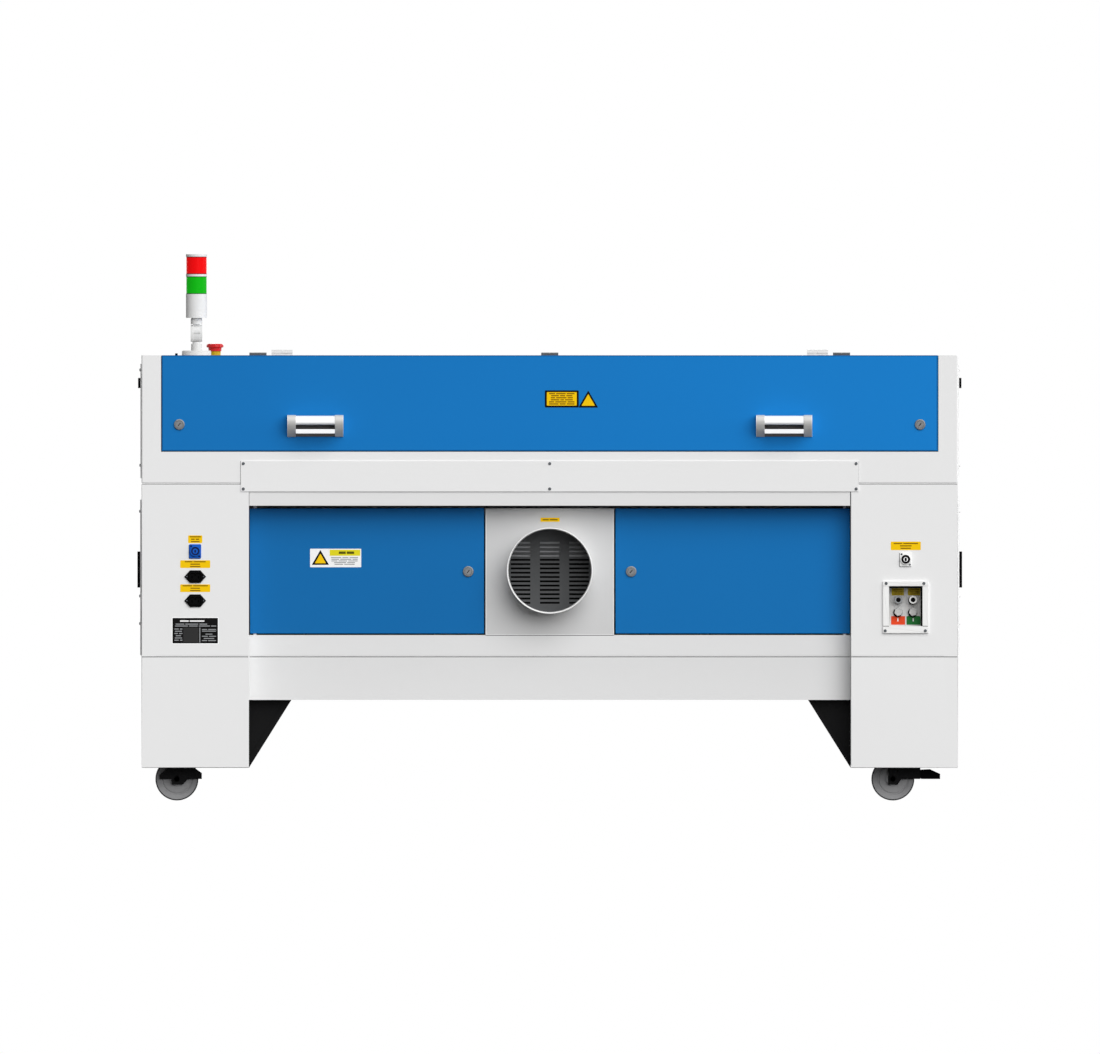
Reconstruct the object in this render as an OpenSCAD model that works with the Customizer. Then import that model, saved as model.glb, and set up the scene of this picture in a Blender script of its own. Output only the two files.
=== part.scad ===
// Carbon dioxide laser cutting machine, in millimetres. The floor is z = 0, the
// rear face looks along +Y, and +X is the right-hand side of a user at the front.

/* [Overall] */
// Width over the housings
body_w = 1900; // [1580:10:2300]
// Depth over the housings
body_d = 1400; // [1160:10:1700]
// Height of the top deck
deck_z = 1036; // [1020:1:1080]
// Height of the seam between the base and the upper housing
seam_z = 736; // [726:1:756]
// Width of each pedestal
leg_w = 250; // [245:1:300]
// Height of the pedestals' lower edge
skirt_z = 76; // [64:1:84]
// Thickness of the sheet steel
sheet = 2; // [1.5:0.1:2.4]
// Gap round each cover, door and lid
reveal = 1.5; // [1:0.1:2.5]

/* [Frame] */
// Outer size of the square frame tube
tube = 40; // [30:1:46]
// Wall of the frame tube
tube_wall = 3; // [2:0.5:4]
// Width of each gusset under the centre box
gusset_w = 99; // [60:1:140]

/* [Centre box] */
// Height of the box's underside
box_z = 234; // [210:1:250]
// Height of the sill under the rear doors
sill_z = 385; // [370:1:400]
// Height of the header over the rear doors
header_z = 686; // [670:1:696]
// How far the rear doors stand back from the rear face
recess = 55; // [40:1:70]
// Depth of the laser tube bay behind the work chamber
bay_d = 260; // [230:5:320]

/* [Exhaust] */
// Width of the exhaust panel between the rear doors
exhaust_w = 299; // [260:1:340]
// Outer radius of the exhaust spigot
spigot_r = 100; // [75:1:104]
// Wall of the spigot
spigot_wall = 4; // [1.5:0.5:5]
// How far the spigot stands out of its panel
spigot_len = 68; // [40:1:90]
// Length of one grille slot
slot_w = 45.6; // [30:0.1:55]
// Height of one grille slot
slot_h = 4.4; // [3:0.1:7]
// Rows of grille slots
slot_rows = 15; // [9:2:17]

/* [Rear cover] */
// Margin of white housing on each side of the cover
cover_margin = 47; // [40:1:70]
// Height of the cover's lower edge
cover_z = 813; // [800:1:830]
// Width of one pull handle
handle_w = 131.5; // [100:0.5:160]
// Height of one pull handle
handle_h = 51; // [40:1:60]
// How far a pull handle stands out
handle_out = 38; // [30:1:50]
// Radius of each cam lock's face
lock_r = 12.5; // [10:0.5:14]
// Radius of each cam lock's barrel
barrel_r = 8; // [6:0.5:9]

/* [Lid] */
// Depth of the sloping front
slope_d = 230; // [180:5:280]
// Drop of the sloping front
slope_drop = 150; // [120:5:160]

/* [Motion] */
// Height of the cutting table's top
table_z = 800; // [790:1:806]
// Pitch of the table's blades
blade_pitch = 50; // [30:5:80]
// Height of the laser beam's path
beam_z = 905; // [900:1:910]
// Radius of the laser tube
laser_r = 40; // [25:1:45]
// Length of the laser tube
laser_len = 1250; // [800:10:1290]
// Height of the table's blades
blade_h = 28; // [16:1:30]
// Radius of the focus tube
focus_r = 11.95; // [9.95:0.1:11.95]

/* [Casters] */
// Radius of the caster wheels
wheel_r = 50; // [44:1:52]
// Width of the caster wheels
wheel_w = 32; // [24:1:34]
// Offset of each wheel's axle from its swivel axis
trail = 34.6; // [28:0.1:38]
// Radius of the caster axles
axle_r = 6; // [5:0.5:8]

/* [Top fittings] */
// Radius of the tower light
tower_r = 24.5; // [20:0.5:28]
// Height of one lens
lens_h = 41; // [30:1:50]
// Radius of the emergency stop's head
stop_r = 20; // [16:0.5:22]

/* [Hidden] */
$fn = 48;
// Running clearance of a pin in its bore, and the gap left between moving flats
run = 0.05;
gap = 0.3;

// Paint and material colours
white = "#e5e5e5";
blue = "#1b73ba";
grey = "#bdbfc1";
black = "#1a1a1c";
steel = "#9a9ca0";
yellow = "#f4c825";
red = "#e01818";
green = "#1fb921";

// Half sizes and the planes that the sheets share
hw = body_w / 2;
hd = body_d / 2;
leg_in = hw - leg_w;
leg_mid = hw - leg_w / 2;
recess_y = hd - recess;
bulk_y = hd - bay_d;
chamber_x = leg_in + 13;

// The sloping front: its slope, its foot, and a line a given depth inside it
slope_k = slope_drop / slope_d;
slope_angle = atan(slope_k);
slope_len = slope_d / cos(slope_angle);
front_z = deck_z - slope_drop;
function slope_z(y, inset) = front_z + (y + hd) * slope_k - inset * sqrt(1 + slope_k * slope_k);
function slope_y(z, inset) = -hd + (z - front_z + inset * sqrt(1 + slope_k * slope_k)) / slope_k;

// Seams cut in the outer faces
seam_gap = 1.6;
seam_deep = 1;
plinth_z = 335;
plinth_hw = hw - 34;

// Rear cover
cover_hw = hw - cover_margin;
cover_y = hd - 78;
cover_hinge_y = cover_y - 2;
cover_hinge_r = 3.2;
cover_hinge_w = 40;
cover_hinge_x = leg_in - 21;
handle_x = hw - 404.3;
handle_z = cover_z + 58.5;
handle_cap = 18.6;
cover_lock_x = cover_hw - 41;
cover_lock_z = cover_z + 62;
cam_reach = 52;
return_d = 22;

// Rear doors
door_in = exhaust_w / 2 + 3.5;
door_out = leg_in - 2.6;
door_low = sill_z + 3.5;
door_high = header_z - 6.5;
door_deep = 14;
door_pin_x = leg_in - 14;
door_pin_r = 4;
door_lock_x = door_in + 36.5;
door_lock_z = sill_z + 148;

// Exhaust path
spigot_z = 534.5;
grille_z = 530;
grille_hw = 108;
slot_pitch = 10;
slot_column = 68;
duct_hw = 118;
duct_top = 650;
duct_mouth = 565;

// Joint plate and its screws
joint_hw = leg_in + 19;
joint_low = seam_z - 17;
joint_high = seam_z + 54;
joint_edge = 6;
screw_r = 3.6;
screw_h = 2.4;

// Side service panels and upper side covers
panel_t = 3;
panel_hy = hd - 130;
panel_low = plinth_z + 3;
panel_high = seam_z - 36;
cover_t = 2.5;
side_cover_low = seam_z + 14;
side_cover_high = deck_z - 20;
side_lap = 22;
pull_z = 537.5;
pull_h = 84;
pull_w = 130;
pull_out = 6.5;
cup_w = 100;
cup_h = 58;
cup_d = 20;
knob_z = deck_z - 64.5;
knob_y = hd - 220;
knob_r = 12;

// Connectors on the rear of the pedestals
inlet_z = 580;
outlet_x = -leg_mid - 3.4;
outlet_z = 561;
flange_w = 26;
flange_h = 31;
socket_w = 51;
socket_h = 31;
socket_zs = [521, 465];
port_x = -leg_mid - 3.5;
port_z = 449;
port_w = 107.5;
port_h = 122;
port_in_w = 78.7;
port_in_h = 93.5;
port_d = 48;
port_proud = 5;
fitting_dx = 17;
fitting_zs = [port_z + 18, port_z - 10];

// Debris drawer
drawer_hw = leg_in - 108;
drawer_low = box_z + sheet + tube + 10;
drawer_high = drawer_low + 112;
drawer_back = bulk_y - 290;
front_gap = 0.5;

// Front flap
flap_hw = leg_in - 82;
flap_low = seam_z + 24;
flap_high = front_z - 6;
flap_hinge_r = 3.2;
flap_hinge_z = flap_low - 4;

// Lid and its hinges
lid_hw = leg_in + 10;
lid_rear = hd - 400;
lid_front = -hd + 11.5;
lid_skirt = 25;
lid_hinge_r = 6.4;
lid_hinge_w = 49;
lid_hinge_x = leg_in - 77;
lid_hinge_y = lid_rear + reveal / 2;
lid_hinge_z = deck_z + lid_hinge_r;
window_hw = leg_in - 140;
window_front = -hd + slope_d + 90;
window_rear = lid_rear - 180;
window_lap = 20;
window_t = 4;

// Gas struts: the foot turns on the chamber wall and the rod end meets the lid
strut_x = leg_in - 6;
strut_foot = [lid_rear - 90, deck_z - 81];
strut_head = [lid_rear - 450, deck_z - 36];
strut_run = strut_head - strut_foot;
strut_len = norm(strut_run);
strut_angle = atan2(strut_run[1], strut_run[0]);
strut_r = 8;
rod_r = 4;
strut_tube_len = 215;

// Laser tube and the shelf it stands on
laser_x = -leg_in + 140;
laser_y = hd - 140;
shelf_z = cover_z - reveal;

// Gantry
rail_w = 15;
rail_h = 12;
profile = 40;
rail_z = 870;
rail_x = chamber_x - profile + 12.5;
gantry_y = -100;
beam_d = 40;
beam_low = rail_z + rail_h + 11;
head_x = -150;
head_w = 70;
focus_y = gantry_y - beam_d / 2 - 40;

// Casters
caster_x = leg_mid + 8;
caster_y = hd - 110;
pad_z = 130;
plate_t = 6;
cheek_in = wheel_w / 2 + 2.5;
cheek_t = 3;
crown_z = wheel_r * 2 + 3.5;
brake_u = 56;
brake_z = 66;

// Tower light and emergency stop, on the right-hand deck
tower_x = leg_mid - 3;
tower_y = -60;
fold_z = deck_z + 57;
column_z = deck_z + 87;
column_h = 55.6;
lens_z = column_z + column_h;
lens_ring = 5;
stop_x = leg_mid - 46;
stop_y = -hd + 300;

// A block between the low and high values given for each axis
module block(x, y, z) {
  translate([x[0], y[0], z[0]])
    cube([x[1] - x[0], y[1] - y[0], z[1] - z[0]]);
}

// Round bars along each axis
module bar_x(r, x, y, z) {
  translate([x[0], y, z]) rotate([0, 90, 0]) cylinder(r = r, h = x[1] - x[0]);
}

module bar_y(r, x, y, z) {
  translate([x, y[0], z]) rotate([-90, 0, 0]) cylinder(r = r, h = y[1] - y[0]);
}

module bar_z(r, x, y, z) {
  translate([x, y, z[0]]) cylinder(r = r, h = z[1] - z[0]);
}

// An outline of [y, z] points extruded along X
module slab_x(x, outline) {
  translate([x[0], 0, 0])
    rotate([90, 0, 90]) linear_extrude(x[1] - x[0]) polygon(outline);
}

// An outline of [x, z] points extruded along Y
module slab_y(y, outline) {
  translate([0, y[1], 0])
    rotate([90, 0, 0]) linear_extrude(y[1] - y[0]) polygon(outline);
}

// The part as drawn on the right, and its mirror image on the left
module both_sides() {
  children();
  mirror([1, 0, 0]) children();
}

// A square tube along one axis: 0 is X, 1 is Y and 2 is Z
module square_tube(x, y, z, axis) {
  cut = [for (i = [0:2]) i == axis ? -1 : tube_wall];
  difference() {
    block(x, y, z);
    block([x[0] + cut[0], x[1] - cut[0]], [y[0] + cut[1], y[1] - cut[1]], [z[0] + cut[2], z[1] - cut[2]]);
  }
}

// Welded frame: two leg frames, two cross tubes, table bearers and gussets
module base_frame() {
  x_cols = [[leg_in + sheet, leg_in + sheet + tube], [hw - sheet - tube, hw - sheet]];
  y_end = hd - sheet;
  low = pad_z + plate_t;
  color(black) {
    for (side = [0, 1]) mirror([side, 0, 0]) {
      for (col = x_cols) {
        square_tube(col, [-y_end, y_end], [low, low + tube], 1);
        square_tube(col, [-y_end, y_end], [seam_z - tube, seam_z], 1);
        for (end = [0, 1]) mirror([0, end, 0])
          square_tube(col, [y_end - tube, y_end], [low + tube, seam_z - tube], 2);
      }
      for (end = [0, 1]) mirror([0, end, 0]) {
        square_tube([x_cols[0][1], x_cols[1][0]], [y_end - tube, y_end], [low, low + tube], 0);
        square_tube([x_cols[0][1], x_cols[1][0]], [y_end - tube, y_end], [seam_z - tube, seam_z], 0);
        block([x_cols[0][0], x_cols[1][1]], [caster_y - 55, caster_y + 55], [pad_z, low]);
        gusset();
      }
    }
    for (y = [-hd + 80, hd - 120])
      square_tube([-leg_in, leg_in], [y, y + tube], [box_z + sheet, box_z + sheet + tube], 0);
    for (x = [-leg_in + 60, 0, leg_in - 60])
      block([x - 15, x + 15], [-hd + sheet, bulk_y - sheet], [table_z - blade_h - tube, table_z - blade_h]);
  }
}

// A folded triangular gusset between a pedestal and the box above
module gusset() {
  top = box_z;
  tip = leg_in - gusset_w;
  rise = top - skirt_z;
  web_y = recess_y - 45;
  rim = 14.5;
  fold = 3.5;
  slab_y([web_y, web_y + 4], [[tip, top], [leg_in, skirt_z], [leg_in, top]]);
  slab_y([web_y + 4, web_y + 7],
    [[tip, top], [leg_in, skirt_z], [leg_in, skirt_z + rim * rise / gusset_w], [tip + rim, top]]);
  slab_y([web_y - 25, web_y],
    [[tip, top], [leg_in, skirt_z], [leg_in, skirt_z + fold * rise / gusset_w], [tip + fold, top]]);
}

// One pedestal shell on the right: four walls, open above, with a lip below
module pedestal() {
  lip = 15;
  y_in = hd - sheet;
  difference() {
    block([leg_in, hw], [-hd, hd], [skirt_z, seam_z]);
    block([leg_in + sheet, hw - sheet], [-y_in, y_in], [skirt_z + sheet, seam_z + 1]);
    block([leg_in + sheet + lip, hw - sheet - lip], [lip - y_in, y_in - lip],
      [skirt_z - 1, skirt_z + sheet + 1]);
    block([hw - sheet - 1, hw + 1], [side_lap - panel_hy, panel_hy - side_lap],
      [panel_low + side_lap, panel_high - side_lap]);
    for (end = [0, 1]) mirror([0, end, 0])
      block([leg_in - 1, plinth_hw], [hd - seam_deep, hd + 1], [plinth_z, plinth_z + seam_gap]);
  }
}

module pedestal_right() {
  color(white) difference() {
    pedestal();
    inlet_hole(leg_mid, inlet_z);
    for (z = socket_zs)
      block([leg_mid - 15 - gap, leg_mid + 15 + gap], [hd - sheet - 1, hd + 1],
        [z - 10 - gap, z + 10 + gap]);
  }
}

module pedestal_left() {
  color(white) difference() {
    mirror([1, 0, 0]) pedestal();
    inlet_hole(outlet_x, outlet_z);
    block([port_x - port_in_w / 2 - 2.5, port_x + port_in_w / 2 + 2.5], [hd - sheet - 1, hd + 1],
      [port_z - port_in_h / 2 - 2.5, port_z + port_in_h / 2 + 2.5]);
  }
}

// Cut-out behind one round power connector
module inlet_hole(x, z) {
  bar_y(10 + gap, x, [hd - sheet - 1, hd + 1], z);
}

// Screwed service panels: one below and one above the seam on each side
module side_panels() {
  color(white) both_sides() {
    difference() {
      block([hw, hw + panel_t], [-panel_hy, panel_hy], [panel_low, panel_high]);
      block([hw - 1, hw + panel_t + 1], [-cup_w / 2, cup_w / 2], [pull_z - cup_h / 2, pull_z + cup_h / 2]);
    }
    slab_x([hw, hw + cover_t], [
      [-hd + slope_d + 40, side_cover_low], [hd - 40, side_cover_low],
      [hd - 40, side_cover_high], [-hd + slope_d + 40, side_cover_high]
    ]);
  }
}

// Black pulls on the sides: a cupped handle below and a round knob above
module side_pulls() {
  out = hw + panel_t + pull_out;
  wall = 1.6;
  color(black) both_sides() {
    difference() {
      union() {
        block([hw + panel_t, out], [-pull_w / 2, pull_w / 2], [pull_z - pull_h / 2, pull_z + pull_h / 2]);
        block([hw - cup_d, out], [gap - cup_w / 2, cup_w / 2 - gap],
          [pull_z - cup_h / 2 + gap, pull_z + cup_h / 2 - gap]);
      }
      block([hw - cup_d + wall, out + 1], [gap + wall - cup_w / 2, cup_w / 2 - gap - wall],
        [pull_z - cup_h / 2 + gap + wall, pull_z + cup_h / 2 - gap - wall]);
    }
    bar_x(knob_r, [hw + cover_t, hw + cover_t + 5.5], knob_y, knob_z);
  }
}

// Box between the pedestals: floor, walls, rear sill and header, and the duct
module centre_box() {
  front = -hd + sheet;
  guide_x = drawer_hw + 4;
  color(white) difference() {
    union() {
      block([-leg_in, leg_in], [-hd, recess_y], [box_z, box_z + sheet]);
      block([-leg_in, leg_in], [recess_y - sheet, recess_y], [box_z, sill_z]);
      block([-leg_in, leg_in], [recess_y - 20, recess_y], [sill_z - sheet, sill_z]);
      block([1 - leg_in, leg_in - 1], [hd - 1 - sheet, hd - 1], [header_z, seam_z]);
      block([-leg_in, leg_in], [bulk_y, hd - 1 - sheet], [header_z, header_z + sheet]);
      block([-leg_in, leg_in], [bulk_y - sheet, bulk_y], [box_z, seam_z]);
      block([-leg_in, leg_in], [-hd, front], [box_z, seam_z]);
      both_sides() {
        block([duct_hw, duct_hw + sheet], [bulk_y, recess_y - sheet], [duct_floor(), duct_top]);
        block([guide_x - 14, leg_in], [front, drawer_back], [drawer_low - 6, drawer_low - gap]);
        block([guide_x, guide_x + sheet], [front, drawer_back], [drawer_low - gap, drawer_low + 30]);
        bar_z(door_pin_r, door_pin_x, recess_y - door_deep / 2, [door_high - 8, header_z]);
        bar_z(door_pin_r, door_pin_x, recess_y - door_deep / 2, [sill_z, door_low + 8]);
      }
      block([-duct_hw, duct_hw], [bulk_y, recess_y - sheet], [duct_floor(), duct_floor() + sheet]);
      block([-duct_hw - sheet, duct_hw + sheet], [bulk_y, recess_y - sheet], [duct_top, duct_top + sheet]);
    }
    block([-duct_hw, duct_hw], [bulk_y - sheet - 1, bulk_y + 1], [duct_floor() + sheet, duct_mouth]);
    block([-duct_hw, duct_hw], [bulk_y, recess_y - sheet], [sill_z - sheet - 1, sill_z + 1]);
    block([-drawer_hw - 3, drawer_hw + 3], [-hd - 1, front + 1], [drawer_low - 3, drawer_high + 6]);
    block([-leg_in - 1, leg_in + 1], [recess_y - seam_deep, recess_y + 1], [plinth_z, plinth_z + seam_gap]);
  }
}

// The duct clears the cross tube that lies on the box's floor
function duct_floor() = box_z + sheet + tube + 2;

module exhaust_panel() {
  color(grey) difference() {
    block([-exhaust_w / 2, exhaust_w / 2], [recess_y - sheet, recess_y], [sill_z, door_high]);
    bar_y(spigot_r - spigot_wall, 0, [recess_y - sheet - 1, recess_y + 1], spigot_z);
  }
}

module exhaust_grille() {
  y = [recess_y - 2 * sheet, recess_y - sheet];
  color("#5a5d60") difference() {
    block([-grille_hw, grille_hw], y, [spigot_z - grille_hw, spigot_z + grille_hw]);
    for (row = [0:slot_rows - 1], col = [-1:1]) {
      z = grille_z + (row - (slot_rows - 1) / 2) * slot_pitch;
      x = col * slot_column;
      block([x - slot_w / 2, x + slot_w / 2], [y[0] - 1, y[1] + 1], [z - slot_h / 2, z + slot_h / 2]);
    }
  }
}

module exhaust_spigot() {
  color(white) difference() {
    bar_y(spigot_r, 0, [recess_y, recess_y + spigot_len], spigot_z);
    bar_y(spigot_r - spigot_wall, 0, [recess_y - 1, recess_y + spigot_len + 1], spigot_z);
  }
}

module joint_plate() {
  color(white) block([-joint_hw, joint_hw], [hd, hd + sheet], [joint_low, joint_high]);
}

// Outline of the housing's inside, in side view, from a floor to the given plane
function room(low, back) = [
  [-hd + sheet, low], [back, low], [back, deck_z - sheet],
  [slope_y(deck_z - sheet, sheet), deck_z - sheet], [-hd + sheet, slope_z(-hd + sheet, sheet)]
];

// The band of skin that the lid takes the place of
function lid_band(front, back, deep) = [
  [front, slope_z(front, deep)], [slope_y(deck_z - deep, deep), deck_z - deep],
  [back, deck_z - deep], [back, deck_z], [-hd + slope_d, deck_z], [front, slope_z(front, 0)]
];

// Upper housing: outer skin, chamber walls, bulkhead and tube bay shelf
module upper_housing() {
  opening = lid_band(lid_front - reveal, lid_rear + reveal, 10);
  color(white) difference() {
    union() {
      difference() {
        slab_x([-hw, hw],
          [[-hd, seam_z], [hd, seam_z], [hd, deck_z], [-hd + slope_d, deck_z], [-hd, front_z]]);
        slab_x([sheet - hw, hw - sheet], room(seam_z - 1, hd - sheet));
        slab_x([-lid_hw - reveal, lid_hw + reveal], concat(opening, [[lid_front - reveal, deck_z + 1]]));
        block([-lid_hw - reveal, lid_hw + reveal], [lid_front - reveal, lid_rear + reveal],
          [deck_z - 1, deck_z + 1]);
        block([-cover_hw - reveal, cover_hw + reveal], [cover_y - reveal, hd + 1], [shelf_z, deck_z + 1]);
        housing_side_openings();
      }
      housing_walls();
    }
    bar_y(15, -leg_in + 10, [bulk_y - sheet - 1, bulk_y + 1], beam_z);
    block([-flap_hw + 18, flap_hw - 18], [-hd - 1, -hd + sheet + 1], [flap_low + 15, flap_high - 12]);
    seam_cut();
  }
}

module housing_side_openings() {
  y = [-hd + slope_d + 40 + side_lap, hd - 40 - side_lap];
  z = [side_cover_low + side_lap, side_cover_high - 2 * side_lap];
  both_sides() block([hw - sheet - 1, hw + 1], y, z);
}

module housing_walls() {
  both_sides() {
    slab_x([chamber_x, chamber_x + sheet], room(seam_z, bulk_y));
    block([cover_hw + reveal, cover_hw + reveal + sheet], [hd - return_d, hd], [shelf_z, deck_z]);
  }
  block([sheet - hw, hw - sheet], [bulk_y - sheet, bulk_y], [seam_z, deck_z - sheet]);
  block([sheet - hw, hw - sheet], [bulk_y, hd - sheet], [shelf_z - sheet, shelf_z]);
}

// Ledges that the lid's skirts rest on, and the studs that the struts turn on
module lid_supports() {
  color(white) both_sides() {
    for (y = [[-hd + slope_d + 30, strut_head[0] - 14], [strut_head[0] + 14, lid_rear - 10]])
      block([lid_hw - 6, chamber_x], y, [deck_z - lid_skirt - 4, deck_z - lid_skirt - gap]);
    bar_x(9, [strut_x + 5.5, chamber_x], strut_foot[0], strut_foot[1]);
    bar_x(rod_r, [strut_x - 5.5, strut_x + 5.5], strut_foot[0], strut_foot[1]);
  }
}

// Shallow groove round the foot of the upper housing
module seam_cut() {
  difference() {
    block([-hw - 1, hw + 1], [-hd - 1, hd + 1], [seam_z - 1, seam_z + seam_gap]);
    block([seam_deep - hw, hw - seam_deep], [seam_deep - hd, hd - seam_deep],
      [seam_z - 2, seam_z + seam_gap + 1]);
  }
}

// Screw heads that show on the outside
module screws() {
  color("#55585c") {
    for (x = [joint_edge - joint_hw, 0, joint_hw - joint_edge],
        z = [joint_low + joint_edge, joint_high - joint_edge])
      bar_y(screw_r, x, [hd + sheet, hd + sheet + screw_h], z);
    for (x = [-1, 1], z = [-1, 1])
      bar_y(screw_r, port_x + x * (port_w / 2 - 6.5), [hd + port_proud, hd + port_proud + screw_h],
        port_z + z * (port_h / 2 - 6.5));
    both_sides() {
      for (y = [10 - panel_hy, panel_hy - 10], z = [panel_low + 74, panel_low + 138, panel_high - 27])
        bar_x(screw_r, [hw + panel_t, hw + panel_t + screw_h], y, z);
      for (y = [-hd + slope_d + 52, hd - 52], z = [side_cover_low + 30, side_cover_high - 14])
        bar_x(screw_r, [hw + cover_t, hw + cover_t + screw_h], y, z);
    }
  }
}

// One butt hinge with its pin along X; the leaf lies on z = -r and runs to +Y.
// part 0 is the half that carries the pin, and part 1 is the half that turns.
module hinge_half(part, w, r, pin, reach, leaf) {
  x = part == 0 ? [0, w / 2] : [-w / 2, -gap];
  difference() {
    union() {
      bar_x(r, x, 0, 0);
      block([-w / 2, w / 2], [r + gap, reach], [-r, leaf - r]);
      block(x, [0, reach], [-r, leaf - r]);
    }
    if (part == 1) bar_x(pin + run, [-w / 2 - 1, w / 2], 0, 0);
  }
  if (part == 0) bar_x(pin, [-w / 2, 0], 0, 0);
}

module cover_hinge(part) {
  hinge_half(part, cover_hinge_w, cover_hinge_r, 1.5, 25, 2);
}

module lid_hinge(part) {
  hinge_half(part, lid_hinge_w, lid_hinge_r, 3, 34, 3);
}

// Fixed halves of the hinges of the rear cover, the lid and the front flap
module hinge_leaves() {
  color(steel) {
    for (x = [-cover_hinge_x, 0, cover_hinge_x])
      translate([x, cover_hinge_y, deck_z + cover_hinge_r]) rotate([0, 0, 180]) cover_hinge(0);
    for (x = [-lid_hinge_x, lid_hinge_x])
      translate([x, lid_hinge_y, lid_hinge_z]) lid_hinge(0);
    for (x = [-flap_hw + 80, flap_hw - 80])
      translate([x, -hd - flap_hinge_r, flap_hinge_z]) mirror([0, 0, 1]) rotate([90, 0, 0]) flap_leaf();
  }
}

// The flap's fixed half, with its leaf on the front face below the pin
module flap_leaf() {
  hinge_half(0, cover_hinge_w, flap_hinge_r, 1.5, 17, 2);
}

// A round power connector: flange, ring and body through the wall
module power_connector(x, z) {
  difference() {
    union() {
      block([x - flange_w / 2, x + flange_w / 2], [hd, hd + 2], [z - flange_h / 2, z + flange_h / 2]);
      bar_y(10, x, [hd - 26, hd + 8], z);
    }
    bar_y(7.6, x, [hd - 16, hd + 9], z);
  }
}

module power_connectors() {
  color(blue) power_connector(leg_mid, inlet_z);
  color(white) power_connector(outlet_x, outlet_z);
}

// Two sockets with pointed flanges
module service_sockets() {
  point = 9;
  color(black) for (z = socket_zs) difference() {
    union() {
      slab_y([hd, hd + 3], [
        [leg_mid - socket_w / 2, z], [leg_mid - socket_w / 2 + point, z - socket_h / 2],
        [leg_mid + socket_w / 2 - point, z - socket_h / 2], [leg_mid + socket_w / 2, z],
        [leg_mid + socket_w / 2 - point, z + socket_h / 2],
        [leg_mid - socket_w / 2 + point, z + socket_h / 2]
      ]);
      block([leg_mid - 15, leg_mid + 15], [hd - 25, hd + 6], [z - 10, z + 10]);
    }
    block([leg_mid - 13, leg_mid + 13], [hd - 10, hd + 7], [z - 8, z + 8]);
  }
}

// Raised frame with a recessed box for the water and air ports
module port_tray() {
  wall = 1.5;
  color(white) difference() {
    union() {
      block([port_x - port_w / 2, port_x + port_w / 2], [hd, hd + port_proud],
        [port_z - port_h / 2, port_z + port_h / 2]);
      block([port_x - port_in_w / 2 - wall, port_x + port_in_w / 2 + wall], [hd - port_d, hd + 1],
        [port_z - port_in_h / 2 - wall, port_z + port_in_h / 2 + wall]);
    }
    block([port_x - port_in_w / 2, port_x + port_in_w / 2], [hd - port_d + wall, hd + port_proud + 1],
      [port_z - port_in_h / 2, port_z + port_in_h / 2]);
  }
}

// Bulkhead fittings in the port box: two sockets above two barbed spigots
module port_fittings() {
  floor_y = hd - port_d + 1.5;
  color(steel) for (side = [-1, 1]) {
    x = port_x + side * fitting_dx;
    difference() {
      union() {
        bar_y(9, x, [floor_y, floor_y + 8], fitting_zs[0]);
        bar_y(7, x, [floor_y + 8, floor_y + 22], fitting_zs[0]);
      }
      bar_y(4, x, [floor_y + 3, floor_y + 23], fitting_zs[0]);
    }
    difference() {
      union() {
        bar_y(9.5, x, [floor_y, floor_y + 7], fitting_zs[1]);
        bar_y(6, x, [floor_y + 7, floor_y + 30], fitting_zs[1]);
      }
      bar_y(3.5, x, [floor_y + 3, floor_y + 31], fitting_zs[1]);
    }
  }
}

// Foot of the tower light, with the fork and pin that the column folds on
module tower_foot() {
  cheek_r = 13;
  color(white) {
    translate([tower_x, tower_y, 0]) {
      bar_z(34, 0, 0, [deck_z, deck_z + 11]);
      bar_z(12.5, 0, 0, [deck_z + 11, deck_z + 27]);
      bar_z(9.3, 0, 0, [deck_z + 27, deck_z + 31]);
      for (side = [0, 1]) mirror([side, 0, 0]) {
        block([8, 13.5], [-cheek_r, cheek_r], [deck_z + 31, fold_z]);
        bar_x(cheek_r, [8, 13.5], 0, fold_z);
      }
      block([-8, 8], [-cheek_r, cheek_r], [deck_z + 31, deck_z + 42]);
      bar_x(3, [-13.5, 13.5], 0, fold_z);
    }
  }
}

// Column of the tower light: tongue, neck, body and cap
module tower_column() {
  tongue = 8 - gap;
  color(white) translate([tower_x, tower_y, 0]) {
    difference() {
      union() {
        bar_x(11.5, [-tongue, tongue], 0, fold_z);
        block([-tongue, tongue], [-7, 7], [fold_z, fold_z + 16]);
        bar_z(13.4, 0, 0, [fold_z + 15, column_z - 2]);
        bar_z(12.5, 0, 0, [column_z - 3, column_z]);
        bar_z(tower_r, 0, 0, [column_z, lens_z]);
      }
      bar_x(3 + run, [-tongue - 1, tongue + 1], 0, fold_z);
    }
    bar_z(tower_r, 0, 0, [lens_z + 2 * lens_h + lens_ring, lens_z + 2 * lens_h + lens_ring + 5.5]);
    bar_z(tower_r, 0, 0, [lens_z + lens_h, lens_z + lens_h + lens_ring]);
  }
}

module tower_lens(z) {
  difference() {
    bar_z(tower_r - 0.7, tower_x, tower_y, [z, z + lens_h]);
    bar_z(tower_r - 3, tower_x, tower_y, [z + 2, z + lens_h - 2]);
  }
}

module tower_green() {
  color(green) tower_lens(lens_z);
}

module tower_red() {
  color(red) tower_lens(lens_z + lens_h + lens_ring);
}

module estop_base() {
  color(yellow) difference() {
    bar_z(13.4, stop_x, stop_y, [deck_z, deck_z + 11]);
    bar_z(8, stop_x, stop_y, [deck_z + 3, deck_z + 12]);
  }
}

// Mushroom head, sleeve and stem of the emergency stop
module estop_button() {
  color(red) translate([stop_x, stop_y, deck_z]) {
    rotate_extrude() polygon([
      [0, 9], [7, 9], [7, 15], [13.7, 15], [13.7, 9.5], [15, 9.5],
      [15.6, 17.5], [stop_r - 0.6, 18.5], [stop_r, 20], [stop_r, 24.5], [stop_r - 2.5, 26.8], [0, 27.4]
    ]);
  }
}

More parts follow.
